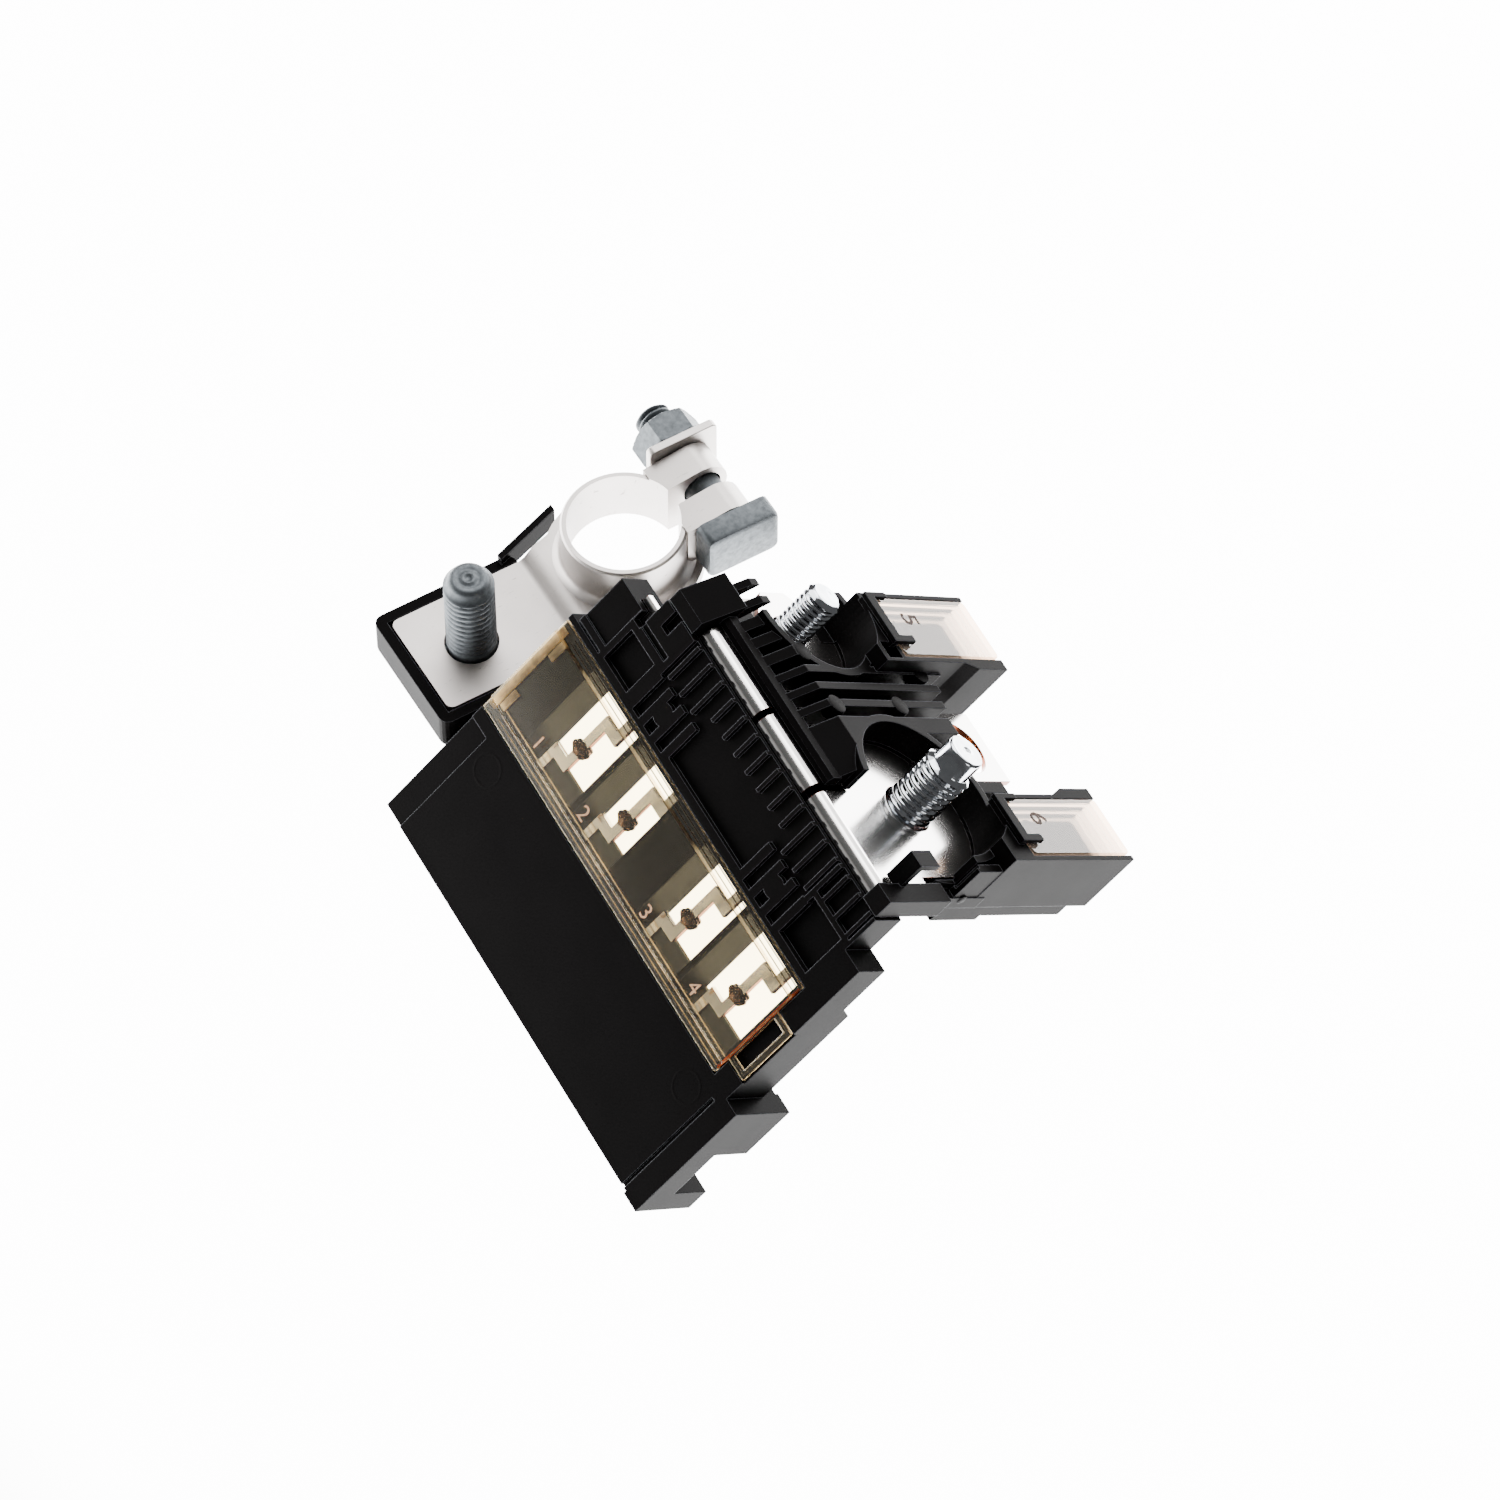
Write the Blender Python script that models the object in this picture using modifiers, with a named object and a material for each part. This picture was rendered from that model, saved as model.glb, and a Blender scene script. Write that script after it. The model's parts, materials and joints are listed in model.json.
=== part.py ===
"""Battery terminal fuse block with its battery post clamp.

The block is described in millimetres in its own frame: X runs along the bend of
the bus bar, Y from the window face toward the two fuse arms, Z up along the
studs. The top of the bus plate is Z 0 and the front of its upright sheet is Y 0.
The clamp has a frame of its own: X along the clamp bolt, Z along the battery post.
The world origin is the middle of the battery post's bore.
"""
import math

import bmesh
import bpy
from mathutils import Matrix, Vector

MM = 0.001

# Fits
CLEARANCE = 0.3
OVERLAP = 0.5

# Bus bar sheet
SHEET = 1.0
BEND_RADIUS = 2.0
BEND_SEGMENTS = ((-25.0, -9.3), (-8.2, 5.1), (6.5, 24.5))
BEND_SLOT_END = 7.2
RAIL_LEFT = -36.0
RAIL_RIGHT = 28.0
RAIL_TOP = -6.0
RAIL_BOTTOM = -17.0
M8_STUD_POS = (9.9, 20.5)
M6_STUD_POS = (-24.2, 19.6)
PLATE_REAR_RAIL = 12.0
M6_PLATE = (-32.3, -14.3)
M6_PLATE_BACK = 26.6
M8_PLATE = (-8.0, 23.0)
M8_PLATE_BACK = 33.0
TONGUE = (-9.0, 4.4)
TONGUE_BACK = 53.5
TONGUE_HOLE = (-2.3, 46.0)
TONGUE_HOLE_RADIUS = 5.0
TAIL_WIDTH = 6.0
LINK_FOOT = 4.0

# Fuse strips
PELLET_X = (-25.9, -12.1, 6.8, 21.2)
PELLET_Z = -30.5
PELLET_RADIUS = 1.35
STRIP_WIDTH = 1.6
STRIP_UPPER_JOG = 3.0
STRIP_LOWER_JOG = 3.0
JOG_TOP = -23.4
JOG_HEIGHT = 1.9
JOG_BOTTOM = -35.2
BLADE_WIDTH = 6.3
BLADE_TOP = -45.0
BLADE_BOTTOM = -58.0

# Front housing
BLOCK_LEFT = -42.0
BLOCK_RIGHT = 33.0
FACE_Y = -1.9
TOP_ZONE_BACK = 4.8
CELL_ZONE_BACK = 7.6
CONNECTOR_BACK = 11.1
HOUSING_TOP = -2.6
HOUSING_BOTTOM = -64.0
WINDOW_TOP = -19.1
WINDOW_BOTTOM = -39.7
CELLS = ((-33.0, -19.9), (-18.7, -7.8), (0.5, 12.4), (13.6, 27.3))
CELL_TOP = -20.2
CELL_BOTTOM = -38.8
RIB_PITCH = 3.35
CONNECTOR_WIDTH = 10.6
CONNECTOR_TOP = -44.0
CONNECTOR_WALL = 1.4
END_BRACKET = 36.0
END_BRACKET_TOP = -40.5
END_BRACKET_BACK = 11.8
END_BRACKET_BOTTOM = -64.5

# Ribbed face above the window
FIELD_DEPTH = 0.9
FIELD = (-24.2, 18.2)
FIELD_BOTTOM = -17.9
SIDE_FIELD = (19.0, 28.2)
SIDE_FIELD_BOTTOM = -8.2
FACE_RIB_FIRST = -22.85
FACE_RIB_WIDTH = 0.7
FACE_RIB_BOTTOM = -9.8
CENTRE_RIBS = (-15.5, 10.5)
CENTRE_RIB_BOTTOM = -7.6
GROOVE_DEPTH = 0.4
POCKET_DEPTH = 1.2
POCKET = (-33.0, -26.2)
POCKET_HEIGHT = (-17.3, -10.6)
POCKET_2 = (19.2, 27.2)
POCKET_2_HEIGHT = (-17.4, -9.2)
TOWER = (-40.4, -34.2)
TOWER_TOP = -7.4
TOWER_NOTCH = -32.2
TOWER_NOTCH_BOTTOM = -9.4
TOWER_RAIL = (-17.3, -16.0)
EDGE_RAIL_TOP = -17.7

# Clear covers
COVER_THICKNESS = 1.0
COVER_LEFT = -41.9
COVER_RIGHT = 28.5
LATCH_TOP = -25.0
LATCH_BOTTOM = -36.4
LATCH_REACH = 4.2
LATCH_BAR = 1.1

# Top housing
FLOOR_BOTTOM = -3.7
WALL_TOP = 5.0
BEAM_FRONT = 2.3
BEAM_BACK = 5.0
BEAM_TOP = 2.0
RIB_BEND_Y = 9.0
RIB_THICKNESS = 1.3
SHORT_RIB_THICKNESS = 1.8
LONG_RIBS = ((-13.1, 44.1), (-9.8, 41.1), (-6.5, 39.5))
THICK_WALL_X = -3.2
THICK_WALL = 2.4
THICK_WALL_END = 38.3
SHORT_RIBS = (-16.6, -20.0, -23.3)
FINGER_RIBS = (-26.5, -29.9)
FINGER_TIP = 11.0
END_BLOCK_LEFT = -32.0
END_BLOCK_RIGHT = 28.5
LEDGE_BACK = 6.3
LEDGE_TOP = 2.2
M8_BAY_RADIUS = 12.9
M6_BAY_RADIUS = 11.0
BAY_WALL = 1.3
M6_BAY_OPEN_X = -24.4
M6_BAY_END_X = -28.5
ARM_A = (-26.2, -12.8, 27.0, 58.5)
ARM_B = (13.2, 25.9, 26.0, 58.4)
ARM_TOP = 7.8
ARM_WALL = 1.6
ARM_FLOOR = 2.0
ARM_COVER_EDGE = 1.1
ARM_COVER_FRONT = 5.8
ARM_FLARE = 1.2
ARM_COLLAR = 7.8
ARM_RAMP = 3.0
LIP_TOP = 1.3
LIP_REACH = 2.8
HOLLOW_WIDTH = 3.2
SKIRT_FRONT = 19.8
SKIRT_STEP = 32.0
SKIRT_BACK = 53.4
SKIRT_BOTTOM = -5.9
SKIRT_LOWER_BOTTOM = -6.9
STOP_TAB = (8.2, 10.4)
STOP_TAB_END = 42.0
END_HOOK = (22.6, 25.6)
END_HOOK_FRONT = 3.2
END_HOOK_REACH = 8.1
END_HOOK_TOP = 6.0
LINK_HEIGHT = 5.2
LINK_THICKNESS = 0.8
LINK_END = 54.5

# Studs of the block
M8_RADIUS = 4.0
M8_TIP = 13.9
M8_DOG_RADIUS = 3.15
M8_DOG_LENGTH = 4.0
M6_RADIUS = 3.0
M6_TIP = 9.1
HEAD_THICKNESS = 1.9
HEAD_MARGIN = 2.4

# Clamp
RING_CENTRE = (-57.0, 25.9, -19.9)
CLAMP_TILT_X = 43.0
CLAMP_TILT_Y = -7.0
POST_RADIUS = 8.95
COLLAR_WALL = 1.0
COLLAR_HEIGHT = 8.0
CLAMP_PLATE = 2.0
CLAMP_DISC_RADIUS = 12.6
PAD_DROP = 1.5
PAD = (-7.8, 11.0, -37.4, -14.6)
PAD_SLOPE = 3.0
SPLIT_GAP = 3.2
EAR_LENGTH = 5.4
BOLT_W = 15.0
BOLT_N = 4.9
EAR_RADIUS = 4.5
BOLT_RADIUS = 3.0
HEX_FLATS = 10.0
BOLT_HEAD = 4.1
NUT_HEIGHT = 5.2
NUT_GAP = 0.3
WASHER_SIDE = 12.0
WASHER_THICKNESS = 1.4
BOLT_HEAD_SIZE = (12.6, 9.2)
BOLT_HEAD_CORNER = 1.0
THREAD_END = -17.8
CLAMP_STUD_POS = (1.65, -28.2)
CLAMP_STUD_HEIGHT = 17.0
CLAMP_STUD_RADIUS = 4.0
TRAY_WALL = 1.8
TRAY_BOTTOM = -8.0
LEG_WIDTH = (-11.0, -1.0)
LEG_WALL_X = -30.0
LEG_TAB_END = -17.5
LEG_TAB_HALF = 5.6

# Clamp frame in the block's frame
CLAMP_ROTATION = Matrix.Rotation(math.radians(CLAMP_TILT_X), 4, 'X') @ Matrix.Rotation(
    math.radians(CLAMP_TILT_Y), 4, 'Y')

PARTS = None
CUTTERS = None


def clear_scene():
    """Remove every object, so that the model starts empty."""
    for thing in list(bpy.data.objects):
        bpy.data.objects.remove(thing, do_unlink=True)


def add_collection(name, parent=None):
    """Make a collection and link it under the scene or another collection."""
    group = bpy.data.collections.new(name)
    (parent or bpy.context.scene.collection).children.link(group)
    return group


def add_frame(name, matrix):
    """Make an empty that carries a group of pieces."""
    frame = bpy.data.objects.new(name, None)
    PARTS.objects.link(frame)
    frame.matrix_world = matrix
    return frame


def add_solid(name, mesh, frame, group=None):
    """Wrap a mesh in an object that is carried by a frame."""
    solid = bpy.data.objects.new(name, mesh)
    (group or CUTTERS).objects.link(solid)
    solid.parent = frame
    if (group or CUTTERS) is not PARTS:
        solid.hide_render = True
        solid.display_type = 'WIRE'
    return solid


def box_mesh(x, y, z):
    """A box between two X, two Y and two Z values in millimetres."""
    shape = bmesh.new()
    bmesh.ops.create_cube(shape, size=1.0)
    size = Vector((x[1] - x[0], y[1] - y[0], z[1] - z[0])) * MM
    middle = Vector((x[1] + x[0], y[1] + y[0], z[1] + z[0])) * MM / 2
    bmesh.ops.scale(shape, vec=size, verts=shape.verts)
    bmesh.ops.translate(shape, vec=middle, verts=shape.verts)
    mesh = bpy.data.meshes.new("box")
    shape.to_mesh(mesh)
    shape.free()
    return mesh


def cylinder_mesh(radius, low, high, centre=(0.0, 0.0), segments=32):
    """A cylinder along Z between two heights in millimetres."""
    shape = bmesh.new()
    bmesh.ops.create_cone(shape, cap_ends=True, segments=segments, radius1=radius * MM,
                          radius2=radius * MM, depth=(high - low) * MM)
    middle = Vector((centre[0], centre[1], (low + high) / 2)) * MM
    bmesh.ops.translate(shape, vec=middle, verts=shape.verts)
    mesh = bpy.data.meshes.new("cylinder")
    shape.to_mesh(mesh)
    shape.free()
    return mesh


def welded_copy(thing):
    """The evaluated mesh of an object, with its loose caps welded."""
    depsgraph = bpy.context.evaluated_depsgraph_get()
    mesh = bpy.data.meshes.new_from_object(thing.evaluated_get(depsgraph))
    shape = bmesh.new()
    shape.from_mesh(mesh)
    bmesh.ops.remove_doubles(shape, verts=shape.verts, dist=0.00001)
    shape.to_mesh(mesh)
    shape.free()
    return mesh


PLANES = {
    'XY': Matrix.Identity(4),
    'XZ': Matrix(((1, 0, 0, 0), (0, 0, -1, 0), (0, 1, 0, 0), (0, 0, 0, 1))),
    'YZ': Matrix(((0, 0, 1, 0), (1, 0, 0, 0), (0, 1, 0, 0), (0, 0, 0, 1))),
}
NORMALS = {'XY': Vector((0, 0, 1)), 'XZ': Vector((0, 1, 0)), 'YZ': Vector((1, 0, 0))}


def prism_mesh(outline, plane, low, high):
    """A flat outline extruded between two values along its plane's normal."""
    curve = bpy.data.curves.new("outline", 'CURVE')
    curve.dimensions = '2D'
    curve.fill_mode = 'BOTH'
    curve.extrude = (high - low) / 2 * MM
    spline = curve.splines.new('POLY')
    spline.points.add(len(outline) - 1)
    for point, (u, v) in zip(spline.points, outline):
        point.co = (u * MM, v * MM, 0.0, 1.0)
    spline.use_cyclic_u = True
    holder = bpy.data.objects.new("outline", curve)
    bpy.context.scene.collection.objects.link(holder)
    mesh = welded_copy(holder)
    bpy.data.objects.remove(holder, do_unlink=True)
    bpy.data.curves.remove(curve)
    middle = NORMALS[plane] * ((low + high) / 2 * MM)
    mesh.transform(Matrix.Translation(middle) @ PLANES[plane])
    return mesh


def turned_mesh(profile, segments=32):
    """Turn a profile of (radius, height) points, top to bottom, about Z."""
    mesh = bpy.data.meshes.new("profile")
    points = [(radius * MM, 0.0, height * MM) for radius, height in profile]
    mesh.from_pydata(points, [(i, i + 1) for i in range(len(points) - 1)], [])
    holder = bpy.data.objects.new("profile", mesh)
    bpy.context.scene.collection.objects.link(holder)
    screw = holder.modifiers.new("turn", 'SCREW')
    screw.steps = segments
    screw.render_steps = segments
    screw.use_merge_vertices = True
    screw.merge_threshold = 0.00001
    turned = welded_copy(holder)
    bpy.data.objects.remove(holder, do_unlink=True)
    turned.shade_smooth()
    turned.set_sharp_from_angle(angle=math.radians(35))
    return turned


def arc(centre, radius, start, end, steps):
    """Points on an arc, angles in degrees, both ends included."""
    angles = [math.radians(start + (end - start) * i / steps) for i in range(steps + 1)]
    return [(centre[0] + radius * math.cos(a), centre[1] + radius * math.sin(a)) for a in angles]


def rounded_rectangle(u, v, radius, steps=4):
    """Outline of a rectangle with round corners."""
    corners = ((u[1], v[0], -90), (u[1], v[1], 0), (u[0], v[1], 90), (u[0], v[0], 180))
    points = []
    for cu, cv, start in corners:
        centre = (cu - radius if cu == u[1] else cu + radius,
                  cv - radius if cv == v[1] else cv + radius)
        points += arc(centre, radius, start, start + 90, steps)
    return points


def combine(solid, meshes, operation, frame):
    """Join to a solid, or cut from it, a group of meshes at once."""
    group = add_collection(solid.name + "_" + operation.lower(), CUTTERS)
    for mesh in meshes:
        thing = mesh
        if isinstance(mesh, bpy.types.Mesh):
            thing = add_solid(solid.name + "_tool", mesh, frame, group)
            continue
        CUTTERS.objects.unlink(thing)
        group.objects.link(thing)
    boolean = solid.modifiers.new(operation.title(), 'BOOLEAN')
    boolean.operation = operation
    boolean.solver = 'EXACT'
    boolean.operand_type = 'COLLECTION'
    boolean.collection = group


def intersect(solid, tool):
    """Keep only what a solid shares with a tool."""
    boolean = solid.modifiers.new("Intersect", 'BOOLEAN')
    boolean.operation = 'INTERSECT'
    boolean.solver = 'EXACT'
    boolean.object = tool


def material(name, colour, roughness, metallic=0.0, alpha=1.0):
    """A Principled material with the piece's plain look."""
    made = bpy.data.materials.new(name)
    made.use_nodes = True
    shader = made.node_tree.nodes["Principled BSDF"]
    shader.inputs["Base Color"].default_value = (*colour, 1.0)
    shader.inputs["Roughness"].default_value = roughness
    shader.inputs["Metallic"].default_value = metallic
    shader.inputs["Alpha"].default_value = alpha
    return made


def fuse_strip(x, grow=0.0):
    """Outline of one S-shaped fuse strip, from the rail to the foot of its blade."""
    half = STRIP_WIDTH / 2 + grow
    upper = x + STRIP_UPPER_JOG
    lower = x - STRIP_LOWER_JOG
    blade = BLADE_WIDTH / 2 + grow
    top = RAIL_BOTTOM + OVERLAP
    return [
        (upper + half, top),
        (upper + half, JOG_TOP - JOG_HEIGHT - grow),
        (x + half, JOG_TOP - JOG_HEIGHT - grow),
        (x + half, JOG_BOTTOM - grow),
        (lower + half, JOG_BOTTOM - grow),
        (lower + half, BLADE_TOP + grow),
        (lower + blade, BLADE_TOP + grow),
        (lower + blade, BLADE_BOTTOM - grow),
        (lower - blade, BLADE_BOTTOM - grow),
        (lower - blade, BLADE_TOP + grow),
        (lower - half, BLADE_TOP + grow),
        (lower - half, JOG_BOTTOM + JOG_HEIGHT + grow),
        (x - half, JOG_BOTTOM + JOG_HEIGHT + grow),
        (x - half, JOG_TOP + grow),
        (upper - half, JOG_TOP + grow),
        (upper - half, top),
    ]


def socket_front(arm):
    """Where an arm's socket begins: behind the round wall of the stud bay beside it."""
    stud, radius = (M6_STUD_POS, M6_BAY_RADIUS) if arm is ARM_A else (M8_STUD_POS, M8_BAY_RADIUS)
    aside = max(0.0, arm[0] + ARM_WALL - stud[0])
    return stud[1] + math.sqrt(radius ** 2 - aside ** 2) + BAY_WALL


def link_foot(arm):
    """Y range of an arm's link on the bus bar's tail."""
    front = socket_front(arm) + CLEARANCE
    return (front, front + LINK_FOOT)


def plate_outlines(grow=0.0):
    """Outlines of the flat top of the bus bar: common strip, two plates, tongue and tails."""
    left, right = M6_PLATE
    front = BEND_SLOT_END
    outlines = [
        [(BEND_SEGMENTS[0][0] - grow, front - grow), (BEND_SEGMENTS[-1][1] + grow, front - grow),
         (BEND_SEGMENTS[-1][1] + grow, PLATE_REAR_RAIL + OVERLAP + grow),
         (BEND_SEGMENTS[0][0] - grow, PLATE_REAR_RAIL + OVERLAP + grow)],
        [(BEND_SEGMENTS[0][0] - grow, PLATE_REAR_RAIL - grow), (right + grow, PLATE_REAR_RAIL - grow),
         (right + grow, M6_PLATE_BACK + grow), (left + 1.5 - grow, M6_PLATE_BACK + grow),
         (left - grow, M6_PLATE_BACK - 1.5 + grow), (left - grow, PLATE_REAR_RAIL + 7.0 - grow)],
        [(M8_PLATE[0] - grow, PLATE_REAR_RAIL - grow), (M8_PLATE[1] + grow, PLATE_REAR_RAIL - grow),
         (M8_PLATE[1] + grow, M8_PLATE_BACK + grow), (M8_PLATE[0] - grow, M8_PLATE_BACK + grow)],
        [(TONGUE[0] - grow, M8_PLATE_BACK - OVERLAP), (TONGUE[1] + grow, M8_PLATE_BACK - OVERLAP),
         (TONGUE[1] + grow, TONGUE_BACK + grow), (TONGUE[0] - grow, TONGUE_BACK + grow)],
    ]
    for arm, back in ((ARM_A, M6_PLATE_BACK), (ARM_B, M8_PLATE_BACK)):
        middle = (arm[0] + arm[1]) / 2
        half = TAIL_WIDTH / 2 + grow
        end = link_foot(arm)[1] + grow
        outlines.append([(middle - half, back - OVERLAP), (middle + half, back - OVERLAP),
                         (middle + half, end), (middle - half, end)])
    return outlines


def add_bus_bar(frame):
    """The bent sheet, cut out of an L-shaped blank by its flat outlines."""
    inner = BEND_RADIUS - SHEET
    centre = (BEND_RADIUS, -BEND_RADIUS)
    far = TONGUE_BACK + OVERLAP
    low = BLADE_BOTTOM - OVERLAP
    section = [(0.0, low)] + arc(centre, BEND_RADIUS, 180, 90, 6) + [(far, 0.0), (far, -SHEET)]
    section += arc(centre, inner, 90, 180, 6) + [(SHEET, low)]
    span = (M6_PLATE[0] - 5, M8_PLATE[1] + 10)
    bar = add_solid("bus_bar", prism_mesh(section, 'YZ', *span), frame, PARTS)
    reach = (-OVERLAP, BEND_RADIUS)
    rail = [(RAIL_LEFT, RAIL_BOTTOM), (RAIL_RIGHT, RAIL_BOTTOM), (RAIL_RIGHT, RAIL_TOP),
            (RAIL_LEFT, RAIL_TOP)]
    blank = add_solid("bus_bar_blank", prism_mesh(rail, 'XZ', *reach), frame)
    pieces = [prism_mesh(fuse_strip(x), 'XZ', *reach) for x in PELLET_X]
    for left, right in BEND_SEGMENTS:
        tab = [(left, RAIL_TOP - OVERLAP), (right, RAIL_TOP - OVERLAP), (right, OVERLAP),
               (left, OVERLAP)]
        pieces.append(prism_mesh(tab, 'XZ', -OVERLAP, BEND_SLOT_END + OVERLAP))
    for outline in plate_outlines():
        pieces.append(prism_mesh(outline, 'XY', -BEND_RADIUS, OVERLAP))
    combine(blank, pieces, 'UNION', frame)
    intersect(bar, blank)
    holes = [
        cylinder_mesh(M8_RADIUS + CLEARANCE, -SHEET - OVERLAP, OVERLAP, M8_STUD_POS),
        cylinder_mesh(M6_RADIUS + CLEARANCE, -SHEET - OVERLAP, OVERLAP, M6_STUD_POS),
        cylinder_mesh(TONGUE_HOLE_RADIUS, -SHEET - OVERLAP, OVERLAP, TONGUE_HOLE, 40),
    ]
    combine(bar, holes, 'DIFFERENCE', frame)
    return bar


def add_pellets(frame):
    """The tin drops, crimped round the middle of each strip."""
    half_sheet = SHEET / 2 + CLEARANCE
    half_strip = STRIP_WIDTH / 2 + CLEARANCE
    pellets = []
    for number, x in enumerate(PELLET_X, 1):
        shape = bmesh.new()
        bmesh.ops.create_uvsphere(shape, u_segments=20, v_segments=12, radius=PELLET_RADIUS * MM)
        bmesh.ops.scale(shape, vec=(1.35, 1.1, 1.15), verts=shape.verts)
        mesh = bpy.data.meshes.new("pellet")
        shape.to_mesh(mesh)
        shape.free()
        pellet = add_solid("tin_pellet_%d" % number, mesh, frame, PARTS)
        pellet.location = Vector((x, SHEET / 2, PELLET_Z)) * MM
        strip = box_mesh((x - half_strip, x + half_strip),
                         (SHEET / 2 - half_sheet, SHEET / 2 + half_sheet),
                         (PELLET_Z - 3, PELLET_Z + 3))
        combine(pellet, [strip], 'DIFFERENCE', frame)
        pellets.append(pellet)
    return pellets


def window_cover_section(face):
    """Section of the window cover: a raised middle with a lower band along each edge."""
    back = face + COVER_THICKNESS
    low_face = face + 0.35
    return [(back, WINDOW_BOTTOM), (low_face, WINDOW_BOTTOM), (low_face, WINDOW_BOTTOM + 2.0),
            (face, WINDOW_BOTTOM + 2.4), (face, WINDOW_TOP - 2.6), (low_face, WINDOW_TOP - 2.2),
            (low_face, WINDOW_TOP), (back, WINDOW_TOP)]


def add_window_cover(frame):
    """The amber cover with two hooks at one end and a latch loop at the other."""
    face = FACE_Y - 0.5
    cover = add_solid("window_cover", prism_mesh(window_cover_section(face), 'YZ',
                                                 COVER_LEFT, COVER_RIGHT), frame, PARTS)
    reach = COVER_RIGHT + LATCH_REACH
    loop = box_mesh((COVER_RIGHT - OVERLAP, reach), (face + 0.35, face + COVER_THICKNESS),
                    (LATCH_BOTTOM, LATCH_TOP))
    hole = box_mesh((COVER_RIGHT + 0.4, reach - LATCH_BAR), (face - 1, face + COVER_THICKNESS + 1),
                    (LATCH_BOTTOM + LATCH_BAR, LATCH_TOP - LATCH_BAR))
    combine(cover, [loop], 'UNION', frame)
    combine(cover, [hole], 'DIFFERENCE', frame)
    return cover


def add_rear_cover(frame):
    """The clear cover behind the cells."""
    plate = rounded_rectangle((CELLS[0][0] - 1.0, CELLS[-1][1] + 1.0),
                              (CELL_BOTTOM - 0.6, CELL_TOP + 0.6), 1.0)
    low = CELL_ZONE_BACK + CLEARANCE
    return add_solid("rear_cover", prism_mesh(plate, 'XZ', low, low + COVER_THICKNESS), frame, PARTS)


def add_front_housing(frame):
    """The moulded housing: stepped section, cells, connector cavities and ribbed face."""
    section = [
        (FACE_Y, HOUSING_BOTTOM), (FACE_Y, HOUSING_TOP), (TOP_ZONE_BACK, HOUSING_TOP),
        (TOP_ZONE_BACK, WINDOW_TOP), (CELL_ZONE_BACK, WINDOW_TOP - 1.5),
        (CELL_ZONE_BACK, END_BRACKET_TOP), (CONNECTOR_BACK, END_BRACKET_TOP),
        (CONNECTOR_BACK, HOUSING_BOTTOM),
    ]
    housing = add_solid("front_housing", prism_mesh(section, 'YZ', BLOCK_LEFT, BLOCK_RIGHT),
                        frame, PARTS)
    bracket = box_mesh((BLOCK_RIGHT - OVERLAP, END_BRACKET), (FACE_Y, END_BRACKET_BACK),
                       (END_BRACKET_BOTTOM, END_BRACKET_TOP))
    combine(housing, [bracket], 'UNION', frame)

    front = FACE_Y - OVERLAP
    through = (front, CONNECTOR_BACK + OVERLAP)
    slot = (-CLEARANCE, SHEET + CLEARANCE)
    recess_floor = FACE_Y - 0.5 + COVER_THICKNESS + CLEARANCE
    cuts = [
        box_mesh((BLOCK_LEFT - 1, TOWER[0]), through, (EDGE_RAIL_TOP, HOUSING_TOP + 1)),
        box_mesh((BLOCK_LEFT - 1, TOWER_NOTCH), through, (TOWER_TOP, HOUSING_TOP + 1)),
        box_mesh((TOWER[1] + 0.2, TOWER_NOTCH), through, (TOWER_NOTCH_BOTTOM, HOUSING_TOP + 1)),
        box_mesh((BLOCK_LEFT - 1, TOWER[1]), (front, FACE_Y + GROOVE_DEPTH), (TOWER_RAIL[1], TOWER_TOP + 1)),
        box_mesh((BLOCK_LEFT - 1, TOWER[1]), (front, FACE_Y + GROOVE_DEPTH), (EDGE_RAIL_TOP, TOWER_RAIL[0])),
        box_mesh((28.9, BLOCK_RIGHT + 1), through, (-9.6, HOUSING_TOP + 1)),
        box_mesh((BLOCK_LEFT - 1, COVER_RIGHT + CLEARANCE), (front, recess_floor),
                 (WINDOW_BOTTOM - CLEARANCE, WINDOW_TOP + CLEARANCE)),
        box_mesh((COVER_RIGHT, BLOCK_RIGHT + 1), (front, recess_floor),
                 (LATCH_BOTTOM - CLEARANCE, LATCH_TOP + CLEARANCE)),
        box_mesh((RAIL_LEFT - CLEARANCE, RAIL_RIGHT + CLEARANCE), slot,
                 (RAIL_BOTTOM - CLEARANCE, HOUSING_TOP + 1)),
        box_mesh((BLOCK_RIGHT - 1.1, END_BRACKET + 1), (3.7, END_BRACKET_BACK + 1), (-60.4, -50.8)),
        box_mesh((31.2, 31.9), (front, FACE_Y + 0.5), (END_BRACKET_BOTTOM - 1, -42.4)),
        box_mesh((BLOCK_LEFT - 1, -37.6), (front, FACE_Y + 0.3), (END_BRACKET_BOTTOM - 1, -42.4)),
    ]
    for left, right in CELLS:
        cuts.append(box_mesh((left, right), through, (CELL_BOTTOM, CELL_TOP)))
    half_strip = STRIP_WIDTH / 2 + CLEARANCE
    half_blade = BLADE_WIDTH / 2 + CLEARANCE
    half_cavity = CONNECTOR_WIDTH / 2
    for x in PELLET_X:
        upper = x + STRIP_UPPER_JOG
        lower = x - STRIP_LOWER_JOG
        cuts.append(box_mesh((upper - half_strip, upper + half_strip), slot,
                             (CELL_TOP - OVERLAP, RAIL_BOTTOM)))
        cuts.append(box_mesh((lower - half_strip, lower + half_strip), slot,
                             (BLADE_TOP, CELL_BOTTOM + OVERLAP)))
        cuts.append(box_mesh((lower - half_blade, lower + half_blade), slot,
                             (BLADE_BOTTOM - CLEARANCE, BLADE_TOP + CLEARANCE)))
        cuts.append(box_mesh((lower - half_cavity, lower + half_cavity),
                             (FACE_Y + CONNECTOR_WALL, CONNECTOR_BACK - CONNECTOR_WALL),
                             (END_BRACKET_BOTTOM - 1, CONNECTOR_TOP)))
    cuts += face_recesses(front)
    combine(housing, cuts, 'DIFFERENCE', frame)
    combine(housing, face_ribs(), 'UNION', frame)
    return housing


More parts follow.
